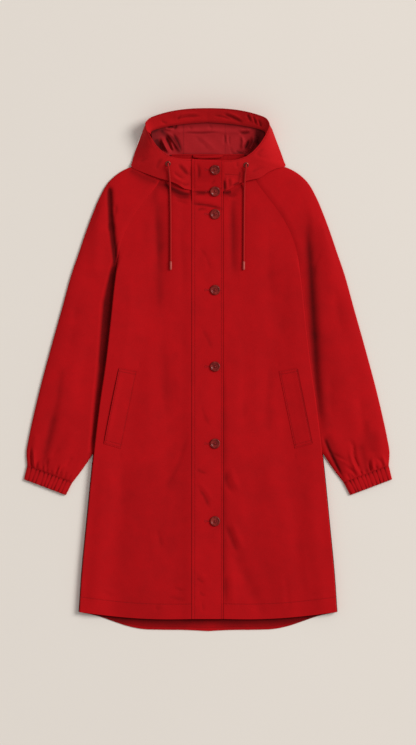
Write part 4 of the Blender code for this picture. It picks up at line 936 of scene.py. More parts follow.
def cuff_ring(side_name):
    """Elastic cuff: uneven sharp gathers over a flat under side, as one flattened ring."""
    side = SIDES[side_name]
    across = np.linspace(0.0, 1.0, 150)[None]
    part = np.linspace(1.0, 0.0, 15)[:, None]
    inner, outer = (between(top, low, part) for top, low in (CUFF_INNER, CUFF_OUTER))
    width = np.hypot(*(outer - inner).T)[:, None]
    place = inner[:, None] + (outer - inner)[:, None] * across[..., None]
    rise = puff(across * width, CUFF_ROLL) * puff((1.0 - across) * width, CUFF_ROLL)
    chance = np.random.default_rng(31 + side)
    grooves = np.zeros(place.shape[:2])
    for gather in CUFF_GATHERS:
        shift = chance.uniform(-0.012, 0.012)
        lean = chance.uniform(-0.02, 0.02)
        depth = chance.uniform(1.1, 1.9)
        reach = chance.uniform(0.9, 1.5)
        away = (across - gather - shift - lean * part) * width
        strength = 0.72 + 0.28 * np.cos(2.0 * math.pi * part + chance.uniform(-0.6, 0.6))
        grooves += depth * strength * np.exp(-((np.abs(away) / reach) ** 1.4))
    seam = np.exp(-(((part - 0.03) * CUFF_DEPTH) ** 2)) + 0.7 * ease((part - 0.93) / 0.07)
    z = UPPER_EDGE + np.maximum(CUFF_TOP + 0.7 - UPPER_EDGE - grooves - seam, 0.0) * rise
    layers = [np.stack([side * place[..., 0], place[..., 1], z], axis=2)]
    step = (outer - inner) / width
    outer_turn = [(width - inward, height) for inward, height in CUFF_TURN]
    for inward, height in (*outer_turn, (0.66 * width, 0.0), (0.33 * width, 0.0), *CUFF_TURN[::-1]):
        spot = inner + step * inward
        layers.append(np.stack([side * spot[:, 0], spot[:, 1], np.full(len(spot), height)], axis=1)[:, None])
    points = np.concatenate(layers, axis=1)
    row_1 = np.full(points.shape[:2], NONE_NEAR)
    row_1[:, : across.size] = part * CUFF_DEPTH - 2.4
    # Painted shade in the grooves of the gathers and in the dip along the seam
    hollow = np.zeros(points.shape[:2])
    hollow[:, : across.size] = np.clip(0.5 * grooves + 0.4 * seam, 0.0, 0.8)
    return facing_up(side, *points.transpose(2, 0, 1), {"row_1": row_1, "hollow": hollow})


def hood_side_sheet(side_name):
    """Hood side from the rim's top corner to the placket, the left one running under it."""
    side = SIDES[side_name]
    lapped = side > 0
    rows = smooth_curve(HOOD_LEFT if lapped else HOOD_RIGHT, 118)
    if lapped:
        lap = []
        for x in np.linspace(PLACKET_LEFT_X, PLACKET_RIGHT_X, 22)[1:]:
            rim_y = np.interp(x, *zip(*UNDERLAP_RIM))
            edge_y = np.interp(x, *zip(*UNDERLAP_EDGE))
            lap.append((x, rim_y, UNDERLAP_RIM_Z, x, edge_y, UNDERLAP_EDGE_Z, 0.0))
        rows = np.concatenate([rows, lap])
    rim_x, rim_y, rim_z, edge_x, edge_y, edge_z, free = (value[:, None] for value in rows.T)
    part = np.linspace(0.0, 1.0, 44)[None] ** 0.85
    fall = free * np.cos(0.5 * math.pi * part) + (1.0 - free) * (0.5 + 0.5 * np.cos(math.pi * part))
    x = side * (rim_x + (edge_x - rim_x) * part)
    y = rim_y + (edge_y - rim_y) * part
    z = edge_z + (rim_z - edge_z) * fall
    fine = fine_relief(x, y, "hood_side_" + side_name)
    visible = ease((x - PLACKET_LEFT_X) / 2.5) if lapped else 1.0
    corded = near_to(np.abs(x), *CORD_ON_HOOD) * ease((CORD_TOP_Y - y) / 6.0)
    calm = calm_by(x, y, [EYELET_PLACES[side_name]], 9.0) * (1.0 - corded)
    z = z + fine * calm * visible * within(part, *HOOD_SIDE_CREASED)
    # Painted shade in the hood side's troughs and shaded bands
    hollow = (trough_shade(fine + 0.3, 1.8) + shades(x, y, "hood_side_" + side_name)) * visible
    start, end = CHANNEL_REACH
    rows = {
        "row_1": np.where((x > start) & (x < end), CHANNEL_Y - CHANNEL_SLOPE * x - y, NONE_NEAR),
        "row_2": run_over(np.stack([x, y, z], axis=2), 1) - RIM_ROW,
        "hollow": np.minimum(hollow, 1.0),
    }
    return facing_up(-side, x, y, z, rows)


def rim_line(x):
    """Y of the forehead edge of the hood."""
    return RIM_PEAK_Y - RIM_DROP * (np.abs(x) / RIM_DROP_AT_X) ** RIM_DROP_POWER


def hood_back_sheet():
    """Back of the hood: flat on the surface, then turning up to the forehead edge."""
    across = np.linspace(-1.0, 1.0, 91)
    bend, _, bend_width = HOOD_BACK_WALL[0]
    floor_part, floor_width = zip(*HOOD_BACK_FLOOR)
    rows = []
    for along in np.linspace(0.0, 0.92, 26):
        half_width = np.interp(along, (*floor_part, 1.0), (*floor_width, bend_width))
        x = across * half_width
        far = rim_line(x * bend_width / half_width) - bend
        start = np.interp(np.abs(x), *zip(*HOOD_BACK_START))
        rows.append(np.stack([x, start + (far - start) * along, np.zeros_like(x)]))
    for inset, height, half_width in smooth_curve(HOOD_BACK_WALL, 16):
        x = across * half_width
        rows.append(np.stack([x, rim_line(x) - inset, np.full_like(x, max(height, 0.0))]))
    x, y, z = np.array(rows).transpose(1, 0, 2)
    y = y + within(z, *HOOD_BACK_WAVY) * rumple(x, z * 2.0, 0.5, 38.0, 51)
    row_1 = np.where(z > 2.0, HOOD_BACK_ROW_Z - z, NONE_NEAR)
    # Painted shade on the raised wall of the hood's back, inside the hood
    return facing_up(-1, x, y, z, {"row_1": row_1, "hollow": 0.4 * (z > 3.0)})


def facing_sheet(side_name):
    """Half of the facing, from its seam at the top of the hood round to the side."""
    side = SIDES[side_name]
    outer_x, outer_y, inner_x, inner_y, inner_z = (value[None] for value in smooth_curve(FACING, 74).T)
    outer_x = outer_x + FACING_SPREAD[side_name] * past(FACING_SPREAD_START, outer_x)
    part = np.linspace(0.0, 1.0, 24)[:, None]
    x = side * (inner_x + (outer_x - inner_x) * part)
    y = inner_y + (outer_y - inner_y) * part
    z = inner_z + (FACING_RIM_Z - inner_z) * part**1.15
    fine = fine_relief(x, y, "hood_facing_" + side_name)
    z = z + fine * within(part, *FACING_CREASED)
    # Painted shade in the facing's troughs and along its inner edge, where it turns down into the hood
    hollow = 0.8 * trough_shade(fine + 0.3, 1.6) + 0.55 * (1.0 - ease(part / 0.25))
    return facing_up(side, x, y, z, {"hollow": hollow})


def lining_sheet(start_x, end_x):
    """Piece of lining between two seams; a missing end runs out under the hood's side."""
    _, _, facing_x, facing_y, facing_z = zip(*FACING)
    low_y = LINING_EDGE[0][0]
    part = np.linspace(0.0, 1.0, 46)[:, None]
    limit = np.interp(low_y + (LINING_EDGE[-1][0] - low_y) * part, *zip(*LINING_EDGE))
    left = -limit if start_x is None else np.full_like(limit, start_x)
    right = limit if end_x is None else np.full_like(limit, end_x)
    x = left + (right - left) * np.linspace(0.0, 1.0, 66)[None]
    aside = np.abs(x)
    top_y = np.interp(aside, facing_x, facing_y) + 1.6
    top_z = np.interp(aside, facing_x, facing_z) - CLOTH - 1.0
    y = low_y + (top_y - low_y) * part
    rise_x, rise_width = LINING_RISE_START
    side_rise = LINING_SIDE_RISE * np.clip((aside - rise_x) / rise_width, 0.0, 1.0) ** 2
    crease = LINING_CREASE * near_to(y, LINING_CREASE_Y, 5.0) * (1.0 - past(LINING_CREASE_END, aside))
    z = LINING_FLOOR + side_rise * (1.0 - part**4) + (top_z - LINING_FLOOR) * part**4 + crease
    fine = fine_relief(x, y, "lining")
    z = z + fine * ease((1.0 - part) / 0.12) * ease((limit - aside) / 6.0)
    from_seam = x - left if start_x is not None else right - x
    # Painted shade in the lining's troughs, at its sides, along its upper edge under the facing and in its
    # shaded bands; each seam also gets a darker line
    corners = past(LINING_SHADED_SIDE, aside) * 0.7 + past((0.8, 0.2), part) * 0.5
    hollow = trough_shade(fine + 0.3, 3.0) + corners + shades(x, y, "hood_lining")
    hollow = np.minimum(hollow + 0.2 * near_to(from_seam, 0.0, 1.5), 1.0)
    return facing_up(1, x, y, np.maximum(z, 2.0 * CLOTH + SEAM_OPEN), {"hollow": hollow})


def neck_band_sheet():
    """Band inside the back of the neck, its upper edge standing up."""
    y, z, half_width = (value[:, None] for value in smooth_curve(NECK_BAND, 20).T)
    x = np.linspace(-1.0, 1.0, 60)[None] * half_width
    z = z + 0.25 * rumple(x, y, 1.0, 30.0, 81) * within(y, *NECK_BAND_FREE)
    return facing_up(1, x, y, z, {"row_1": np.broadcast_to(NECK_BAND_ROW_Y - y, x.shape)})


def hang_loop_sheet():
    """Loop of narrow tape sewn down at its ends, bowed up between them."""
    x, y, z = smooth_curve(HANG_LOOP, 40).T
    shift = np.linspace(-0.5, 0.5, 7)[:, None]
    row_1 = np.abs(shift) * HANG_LOOP_WIDTH - 1.7
    return facing_up(1, x, y + shift * HANG_LOOP_WIDTH, z + 0.25 * np.cos(math.pi * shift), {"row_1": row_1})


def placket_sheet():
    """Placket laid on the left front and on the hood's underlap."""
    x = np.linspace(PLACKET_RIGHT_X, PLACKET_LEFT_X, 34)[None]
    rim_y = np.interp(x, *zip(*UNDERLAP_RIM))
    neck_y = np.interp(x, *zip(*UNDERLAP_EDGE))
    y = PLACKET_HEM_Y + (rim_y - PLACKET_HEM_Y) * np.linspace(0.0, 1.0, 330)[:, None]
    edge_x = np.interp(y, FRONT_MIDDLE, FRONT_EDGE[:, 0])
    on_front, _ = front_height(x, y, edge_x - x)
    step = np.clip((rim_y - y) / (rim_y - neck_y), 0.0, 1.0)
    on_hood = UNDERLAP_EDGE_Z + (UNDERLAP_RIM_Z - UNDERLAP_EDGE_Z) * (0.5 + 0.5 * np.cos(math.pi * step))
    over = ease((y - PLACKET_TO_HOOD_Y) / (neck_y - PLACKET_TO_HOOD_Y))
    z = on_front * (1.0 - over) + on_hood * over + PLACKET_LIFT
    fine = fine_relief(x, y, "placket")
    buttons = 1.0 - calm_by(x, y, [(BUTTON_X, place) for place in BUTTON_Y], 13.0)
    edges = within(x, (PLACKET_RIGHT_X, 5.0), (PLACKET_LEFT_X, 4.0)) * ease((rim_y - y) / 8.0)
    z = z + lowered_under(np.maximum(fine, -0.35 - 1.2 * over), buttons) * edges
    z = z + 0.35 * near_to(x, PLACKET_LEFT_X - 1.4, 1.2) * (1.0 - over)
    rows = {f"row_{n}": x - row_x for n, row_x in enumerate(PLACKET_ROWS, 1)}
    # Painted shade in the placket's troughs
    return facing_up(1, x, y, z, {**rows, "hollow": trough_shade(fine + 0.2, 1.4)})


def back_sheet():
    """Back panel on the floor, its outer face down, with shallow dents where it is creased."""
    edge = np.concatenate([FRONT_EDGE + (BACK_REACH, 0.0), [BACK_NECK]])
    edge_x, edge_y = edge[:, :1], edge[:, 1:]
    low_x, low_y = SIDE_EDGE[0]
    part = np.linspace(-1.0, 1.0, 121)[None]
    x = edge_x * part
    tail = np.interp(np.abs(low_x * part), *smooth_curve(BACK_HEM, 60).T) - low_y
    y = edge_y + tail * ease((TAIL_START_Y - edge_y) / (TAIL_START_Y - low_y))
    dent = np.maximum(crease_relief(x, y, CREASES["back"]), 0.0)
    dent = dent * ease((edge_x - np.abs(x)) / 30.0) * within(y, *BACK_DENTED)
    # Painted shadow of the fronts' hem on the back's tail, darkest just below the hem
    front_hem = np.interp(np.abs(x), *zip(*HEM_OF_FRONTS))
    rows = {"row_1": y - (y[:1] + BACK_HEM_ROW), "hollow": ease((y - front_hem + BACK_HEM_SHADOW_REACH) / 24.0)}
    return facing_up(-1, x, y, dent, rows)


def grid_faces(rows, columns, closed=False):
    """Quads of a grid, seen counter-clockwise with rows going up and columns going right."""
    last = columns if closed else columns - 1
    row, column = np.meshgrid(np.arange(rows - 1), np.arange(last), indexing="ij")
    low = (row * columns + column).ravel()
    after = (row * columns + (column + 1) % columns).ravel()
    return np.stack([low, after, after + columns, low + columns], axis=1)


def surface_of(points):
    """Search tree of a sheet's outer face, for laying other pieces on it."""
    return BVHTree.FromPolygons(points.reshape(-1, 3).tolist(), grid_faces(*points.shape[:2]).tolist())


def lie_on(surface, x, y):
    """Height and slope of a surface at a place, or None beside it."""
    hit, normal, _, _ = surface.ray_cast(Vector((x, y, 100.0)), Vector((0.0, 0.0, -1.0)))
    return None if hit is None else (hit.z, normal if normal.z > 0 else -normal)


def welt_place(across, down):
    """Place on a pocket welt, across it from its inner edge and down it from its top."""
    inner = between(WELT_CORNERS["inner_top"], WELT_CORNERS["inner_low"], down)
    outer = between(WELT_CORNERS["outer_top"], WELT_CORNERS["outer_low"], down)
    return between(inner, outer, across)


def welt_sheet(side_name, surface):
    """Pocket welt made from the front's own surface, moved out, its outer edge slightly proud."""
    side = SIDES[side_name]
    down = np.linspace(1.0, 0.0, 64)[:, None]
    across = np.linspace(0.0, 1.0, 17)[None]
    points = np.empty((down.size, across.size, 3))
    for row, column in np.ndindex(points.shape[:2]):
        x, y = welt_place(across[0, column], down[row, 0])
        points[row, column] = side * x, y, lie_on(surface, side * x, y)[0]
    x, y, z = points.transpose(2, 0, 1)
    lip = WELT_LIP[side_name] * ease((across - 0.62) / 0.38) * np.sin(math.pi * down) ** 0.5
    from_end = WELT_LENGTH * np.minimum(down, 1.0 - down)
    from_side = WELT_WIDTH * np.minimum(across, 1.0 - across)
    rows = {"row_1": np.minimum(from_end, from_side) - 1.9, "row_2": from_end - 7.4}
    return facing_up(side, x, y, z + WELT_GAP + WELT_THICK + lip, rows)


class Tree:
    """Node tree that one method writes, whatever the node."""

    def __init__(self, tree):
        self.tree = tree
        self.tree.nodes.clear()

    def node(self, kind, inputs=None, output=0, stops=None, **settings):
        """Any node: its settings first, then the values or links of its sockets."""
        node = self.tree.nodes.new(kind)
        for name, value in settings.items():
            setattr(node, name, value)
        if stops:
            elements = node.color_ramp.elements
            while len(elements) < len(stops):
                elements.new(0.5)
            for element, (place, colour) in zip(elements, stops):
                element.position = place
                element.color = (*colour, 1.0)
        for name, value in (inputs or {}).items():
            if isinstance(value, Value):
                self.tree.links.new(value.socket, node.inputs[name])
            else:
                node.inputs[name].default_value = value
        return Value(self, node.outputs[output]) if node.outputs else None


class Value:
    """Socket of a tree; arithmetic on it adds Math nodes."""

    def __init__(self, owner, socket):
        self.owner = owner
        self.socket = socket

    def maths(self, operation, first, second=0.0):
        return self.owner.node("ShaderNodeMath", {0: first, 1: second}, operation=operation)

    def __add__(self, other):
        return self.maths("ADD", self, other)

    def __sub__(self, other):
        return self.maths("SUBTRACT", self, other)

    def __rsub__(self, other):
        return self.maths("SUBTRACT", other, self)

    def __mul__(self, other):
        return self.maths("MULTIPLY", self, other)

    def __truediv__(self, other):
        return self.maths("DIVIDE", self, other)

    def sine(self):
        return self.maths("SINE", self)

    def falling(self, width):
        """1 where the value is 0, fading over the given width to either side."""
        part = self / width
        return self.maths("EXPONENT", part * part * -1.0)

    __radd__ = __add__
    __rmul__ = __mul__


class Finish(Tree):
    """Material of one of the jacket's own stuffs."""

    def __init__(self, name):
        self.material = bpy.data.materials.new(name)
        self.material.use_nodes = True
        super().__init__(self.material.node_tree)

    def noise(self, place, scale, detail=2.0, roughness=0.5):
        inputs = {"Vector": place, "Scale": scale, "Detail": detail, "Roughness": roughness}
        return self.node("ShaderNodeTexNoise", inputs)

    def mix(self, factor, first, second):
        """Blend of two colours."""
        sides = {6: first, 7: second}
        colours = {place: c if isinstance(c, Value) else (*c, 1.0) for place, c in sides.items()}
        return self.node("ShaderNodeMix", {0: factor, **colours}, output=2, data_type="RGBA")

    def tint(self, colour, amount):
        """Colour multiplied by a number that varies."""
        return self.node("ShaderNodeVectorMath", {0: colour, 3: amount}, operation="SCALE")

    def bump(self, height, strength=1.0):
        """Normal from a height in millimetres."""
        return self.node("ShaderNodeBump", {"Height": height, "Distance": MM, "Strength": strength})

    def row(self, name):
        """Number that the mesh carries, such as its distance from a row of stitches."""
        return self.node("ShaderNodeAttribute", output=2, attribute_name=name)

    def object_place(self):
        return self.node("ShaderNodeTexCoord", output=3)

    def weave_place(self):
        return self.node("ShaderNodeUVMap", uv_map="weave")

    def split(self, place):
        """The first two numbers of a place."""
        return [self.node("ShaderNodeSeparateXYZ", {0: place}, output=n) for n in range(2)]

    def paint(self, colour):
        plain = self.node("ShaderNodeRGB")
        plain.socket.default_value = (*colour, 1.0)
        return plain

    def near_row(self, kind, width):
        """1 on either of the two rows or slits of a kind, fading over a width in millimetres."""
        return self.row(kind + "_1").falling(width) + self.row(kind + "_2").falling(width)

    def surface(self, **sockets):
        """Principled shader with the given sockets, as the material's surface."""
        inputs = {name.replace("_", " "): value for name, value in sockets.items()}
        shader = self.node("ShaderNodeBsdfPrincipled", inputs)
        self.node("ShaderNodeOutputMaterial", {"Surface": shader})
        return self.material


def cloth_finish(name, colour, thread, mottle, sheen, specular, roughness):
    """Closely woven cloth: threads, slubs, faint mottling, a groove at each row of stitches, and the painted
    shade and painted shadow lines that the mesh carries.
    """
    stuff = Finish(name)
    place = stuff.weave_place()
    object_place = stuff.object_place()
    across, along = stuff.split(place)
    turns = math.tau / (thread * MM)
    weave = (across * turns).sine() * (along * turns).sine()
    slub_place = stuff.node("ShaderNodeMapping", {0: place, 3: (1.0, 0.16, 1.0)})
    slubs = stuff.noise(slub_place, 900.0, 3.0)
    fibres = stuff.noise(place, 420.0, 4.0, 0.6)
    cloudy = stuff.noise(object_place, 38.0, 3.0, 0.55)
    broad = stuff.noise(object_place, 9.0, 2.0)
    pucker = stuff.noise(place, 240.0, 1.0)
    groove = stuff.near_row("row", 0.95)
    beside = stuff.near_row("row", 3.2)
    slit = stuff.near_row("slit", 0.9)
    shade = 1.0 + mottle * (fibres - 0.5) + mottle * 0.9 * (cloudy - 0.5)
    shade = shade + mottle * 0.8 * (broad - 0.5) + mottle * 0.6 * (slubs - 0.5)
    # Painted shade and painted shadow lines darken the colour where the mesh carries them
    shade = shade - 0.1 * groove - 0.02 * beside - HOLLOW_SHADE * stuff.row("hollow") - SLIT_SHADE * slit
    height = 0.018 * weave + 0.05 * slubs + 0.1 * fibres + 0.5 * cloudy - 0.3 * groove
    return stuff.surface(
        Base_Color=stuff.tint(stuff.paint(colour), shade),
        Roughness=roughness + 0.12 * (cloudy - 0.5) + 0.1 * (slubs - 0.5),
        Specular_IOR_Level=specular,
        Sheen_Weight=sheen,
        Sheen_Roughness=0.45,
        Sheen_Tint=(1.0, 0.36, 0.3, 1.0),
        Normal=stuff.bump(height + 0.5 * beside * (pucker - 0.5)),
    )


def thread_finish(name, colour):
    """Sewing thread with a faint twist."""
    stuff = Finish(name)
    place = stuff.object_place()
    twist = stuff.noise(place, 2600.0, 1.0)
    uneven = stuff.noise(place, 120.0, 2.0)
    return stuff.surface(
        Base_Color=stuff.tint(stuff.paint(colour), 0.75 + 0.3 * twist + 0.25 * uneven),
        Roughness=0.5 + 0.2 * twist,
        Specular_IOR_Level=0.2,
        Normal=stuff.bump(0.05 * twist),
    )


def resin_finish():
    """Polished brown-red resin with cloudy streaks, as on moulded coat buttons."""
    stuff = Finish("Mottled button resin")
    place = stuff.object_place()
    swirl = stuff.noise(place, 150.0, 3.0, 0.6)
    streak_look = {"Vector": place, "Scale": 330.0, "Detail": 3.0, "Distortion": 2.2}
    streaks = stuff.node("ShaderNodeTexNoise", streak_look)
    cloud = stuff.node(
        "ShaderNodeValToRGB",
        {0: 0.55 * swirl + 0.45 * streaks},
        stops=[(0.36, (0.1, 0.005, 0.005)), (0.5, (0.18, 0.011, 0.009)), (0.66, (0.29, 0.03, 0.021))],
    )
    scratches = stuff.noise(place, 2400.0, 2.0)
    return stuff.surface(
        Base_Color=cloud,
        Roughness=0.22 + 0.16 * scratches,
        Specular_IOR_Level=0.12,
        Coat_Weight=0.12,
        Coat_Roughness=0.12,
        Normal=stuff.bump(0.04 * swirl + 0.01 * scratches),
    )


def braid_finish():
    """Braided cord: two crossing sets of plaited strands."""
    stuff = Finish("Red braided cord")
    around, along = stuff.split(stuff.weave_place())
    pitch = 1.0 / (CORD_BRAID * MM)
    one = ((around * 4.0 + along * pitch) * math.tau).sine()
    other = ((around * 4.0 - along * pitch) * math.tau).sine()
    plait = one * other
    fuzz = stuff.noise(stuff.object_place(), 1500.0, 3.0)
    # Darker in the plait's dips, which is painted shade between the strands, and unevenly with the fuzz
    dip_shade_and_fuzz = 0.5 + 0.32 * plait + 0.3 * (fuzz - 0.5)
    return stuff.surface(
        Base_Color=stuff.mix(dip_shade_and_fuzz, (0.26, 0.005, 0.006), (0.5, 0.014, 0.014)),
        Roughness=0.7 + 0.15 * (fuzz - 0.5),
        Specular_IOR_Level=0.08,
        Sheen_Weight=0.04,
        Sheen_Tint=(1.0, 0.5, 0.45, 1.0),
        Normal=stuff.bump(0.12 * plait + 0.04 * fuzz),
    )


def plain_finish(name, dark, light, cloud, fine, roughness, relief, **sockets):
    """Smooth stuff that varies cloudily between two colours and has a fine grain."""
    stuff = Finish(name)
    place = stuff.object_place()
    cloudy = stuff.noise(place, *cloud)
    grain = stuff.noise(place, fine)
    return stuff.surface(
        Base_Color=stuff.mix(cloudy, dark, light),
        Roughness=roughness[0] + roughness[1] * grain,
        Normal=stuff.bump(relief * grain),
        **sockets,
    )


def floor_finish():
    """Plain pale studio floor with a faint tooth."""
    stuff = Finish("Pale studio floor")
    place = stuff.object_place()
    tooth = stuff.noise(place, 900.0, 2.0)
    cloudy = stuff.noise(place, 2.2, 2.0)
    return stuff.surface(
        Base_Color=stuff.mix(0.5 * tooth + 0.5 * cloudy, (0.784, 0.725, 0.668), (0.815, 0.761, 0.706)),
        Roughness=0.85 + 0.05 * tooth,
        Specular_IOR_Level=0.1,
        Normal=stuff.bump(0.02 * tooth),
    )


def weave_uv(points):
    """Place of each point on its cloth, in metres, across and along the grain."""
    across = run_over(points, 1)
    middle = points.shape[1] // 2
    return np.stack([across - across[:, middle : middle + 1], run_over(points, 0)], axis=2) * MM


def give_uv(mesh, uv):
    """Give a mesh its place on the cloth, one for each corner of its faces."""
    mesh.uv_layers.new(name="weave").data.foreach_set("uv", uv.astype(np.float32).ravel())


def corners_of(mesh):
    """Which point each corner of a mesh's faces is at."""
    corner = np.empty(len(mesh.loops), dtype=np.int32)
    mesh.loops.foreach_get("vertex_index", corner)
    return corner


def link(name, data):
    """Object in the scene, at the origin."""
    thing = bpy.data.objects.new(name, data)
    bpy.context.scene.collection.objects.link(thing)
    return thing


def add_piece(name, mesh, material, smooth=True):
    mesh.materials.append(material)
    if smooth:
        mesh.shade_smooth()
    return link(name, mesh)


def hand_over(piece, node=None):
    """Tell the frame which body a piece rides on, and the solid that it replaces."""
    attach(piece, "root")
    if node:
        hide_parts(node)
    return piece


def grid_mesh(name, points, rows, closed=False):
    """Mesh through a grid of points, with its place on the cloth and its rows of stitches."""
    mesh = bpy.data.meshes.new(name)
    faces = grid_faces(*points.shape[:2], closed)
    mesh.from_pydata((points.reshape(-1, 3) * MM).tolist(), [], faces.tolist())
    give_uv(mesh, weave_uv(points).reshape(-1, 2)[corners_of(mesh)])
    for key, missing in CARRIED.items():
        values = np.broadcast_to(rows.get(key, missing), points.shape[:2]).astype(np.float32)
        mesh.attributes.new(key, "FLOAT", "POINT").data.foreach_set("value", values.ravel())
    return mesh


def cloth_piece(node, made, finish, thickness=CLOTH, closed=False):
    """Thin shell on a sheet, in place of its plain solid."""
    points, rows = made
    piece = add_piece(node + "_cloth", grid_mesh(node, points, rows, closed), finish)
    wall = piece.modifiers.new("Cloth thickness", "SOLIDIFY")
    wall.thickness = thickness * MM
    wall.offset = -1.0
    applied(piece).data.set_sharp_from_angle(angle=math.radians(CRISP_ANGLE))
    return hand_over(piece, node)


def applied(piece):
    """Give a piece the mesh that its modifiers make, and drop them."""
    made = bpy.data.meshes.new_from_object(piece.evaluated_get(bpy.context.evaluated_depsgraph_get()))
    piece.modifiers.clear()
    piece.data = made
    return piece


def stitch_tree(finish):
    """Rows of short raised stitches along paths, lying on the cloth under them."""
    group = bpy.data.node_groups.new("Stitch rows", "GeometryNodeTree")
    face = group.interface
    face.new_socket("Path", in_out="INPUT", socket_type="NodeSocketGeometry")
    for name, value in STITCH_SIZES.items():
        face.new_socket(name, in_out="INPUT", socket_type="NodeSocketFloat").default_value = value
    face.new_socket("Stitches", in_out="OUTPUT", socket_type="NodeSocketGeometry")
    tree = Tree(group)
    path = tree.node("NodeGroupInput", output="Path")
    given = path.socket.node.outputs
    spacing, length, thickness, turn = (Value(tree, given[name]) for name in STITCH_SIZES)
    curve = tree.node("GeometryNodeMeshToCurve", {"Mesh": path})
    places = tree.node("GeometryNodeResampleCurve", {"Curve": curve, "Length": spacing * MM}, mode="LENGTH")
    lie = tree.node("GeometryNodeInputNamedAttribute", {"Name": "lie"}, data_type="FLOAT_VECTOR")
    up = tree.node("FunctionNodeAlignRotationToVector", {"Vector": lie}, axis="Z")
    ahead = tree.node(
        "FunctionNodeAlignRotationToVector",
        {"Rotation": up, "Vector": tree.node("GeometryNodeInputTangent")},
        axis="X",
        pivot_axis="Z",
    )
    chance = tree.node("FunctionNodeRandomValue", {2: -0.14, 3: 0.14, "Seed": 7}, output=1)
    askew = tree.node("ShaderNodeCombineXYZ", {2: chance + turn})
    turned = tree.node(
        "FunctionNodeRotateRotation", {"Rotation": ahead, "Rotate By": askew}, rotation_space="LOCAL"
    )
    size = tree.node("ShaderNodeCombineXYZ", {0: length * MM, 1: thickness * MM, 2: thickness * (0.8 * MM)})
    stitch = tree.node("GeometryNodeMeshUVSphere", {"Segments": 6, "Rings": 4, "Radius": 0.5})
    laid = tree.node(
        "GeometryNodeInstanceOnPoints",
        {"Points": places, "Instance": stitch, "Rotation": turned, "Scale": size},
    )
    real = tree.node("GeometryNodeRealizeInstances", {"Geometry": laid})
    done = tree.node("GeometryNodeSetMaterial", {"Geometry": real, "Material": finish})
    tree.node("NodeGroupOutput", {"Stitches": done})
    return group


def stitched(name, paths, tree, finish, **sizes):
    """Mesh of the stitches along some paths, each a list of points with the cloth's slope."""
    places, slopes, edges = [], [], []
    for path in paths:
        start = len(places)
        for place, slope in path:
            places.append(tuple(value * MM for value in place))
            slopes.append(tuple(slope))
        edges.extend((start + n, start + n + 1) for n in range(len(path) - 1))
    mesh = bpy.data.meshes.new(name)
    mesh.from_pydata(places, edges, [])
    lie = mesh.attributes.new("lie", "FLOAT_VECTOR", "POINT")
    lie.data.foreach_set("vector", np.array(slopes, np.float32).ravel())
    piece = add_piece(name, mesh, finish, smooth=False)
    rows = piece.modifiers.new("Stitch rows", "NODES")
    rows.node_group = tree
    for item in tree.interface.items_tree:
        if item.in_out == "INPUT" and item.name in sizes:
            rows[item.identifier] = sizes[item.name]
    return hand_over(applied(piece))


def on_cloth(node, places):
    """Path over one sheet through places x, y, left out where there is no cloth."""
    path = []
    for x, y in places:
        found = lie_on(tops[node], x, y)
        if found:
            path.append(((x, y, found[0] + STITCH_LIFT), found[1]))
    return path


def along_row(made, key):
    """Path where a sheet's distance from a stitch row is zero, one point for each grid line."""
    points, rows = made
    values = rows[key]
    if abs(np.diff(values, axis=0)).mean() <= abs(np.diff(values, axis=1)).mean():
        values, points = values.T, points.transpose(1, 0, 2)
    path = []
    for line, places in zip(values.T, points.transpose(1, 0, 2)):
        near = np.abs(line) < 20.0
        crossings = np.nonzero((line[:-1] * line[1:] <= 0.0) & near[:-1] & near[1:])[0]
        if len(crossings):
            n = crossings[0]
            step = line[n] - line[n + 1]
            path.append(between(places[n], places[n + 1], line[n] / step if step else 0.0))
    return path


def turned_shape(profile, steps, closed=False):
    """Mesh of a turned shape from its profile in millimetres, a solid or a closed ring."""
    angles = np.linspace(0.0, math.tau, steps, endpoint=False)
    radius, height = np.array(profile).T[..., None]
    ring = np.stack(np.broadcast_arrays(radius * np.cos(angles), radius * np.sin(angles), height), axis=2)
    faces = grid_faces(len(profile), steps, closed=True)[:, ::-1].tolist()
    last = (len(profile) - 1) * steps
    if closed:
        for n in range(steps):
            after = (n + 1) % steps
            faces.append((last + after, last + n, n, after)[::-1])
    else:
        faces.append(tuple(range(steps)))
        faces.append(tuple(range(last, last + steps))[::-1])
    mesh = bpy.data.meshes.new("turned")
    mesh.from_pydata((ring.reshape(-1, 3) * MM).tolist(), [], faces)
    return mesh


def cut_holes(piece, tools):
    """Cut the shapes of some meshes out of a piece."""
    things = [link("hole", tool) for tool in tools]
    for thing in things:
        piece.modifiers.new("Hole", "BOOLEAN").object = thing
    applied(piece)
    for thing in things:
        bpy.data.objects.remove(thing)


def button_mesh():
    """Four-hole button: a wide rounded rim round a dished middle."""
    blank = link("button blank", turned_shape(BUTTON_PROFILE, 56))
    holes = []
    for across, along in ((1, 1), (1, -1), (-1, -1), (-1, 1)):
        hole = turned_shape([(0.5 * BUTTON_HOLE, 6.0), (0.5 * BUTTON_HOLE, -6.0)], 18)
        hole.transform(Matrix.Translation(Vector((across, along, 0.0)) * BUTTON_HOLE_SPACING * MM))
        holes.append(hole)
    cut_holes(blank, holes)
    mesh = blank.data
    bpy.data.objects.remove(blank)
    mesh.shade_smooth()
    mesh.set_sharp_from_angle(angle=math.radians(BUTTON_CRISP_ANGLE))
    return mesh


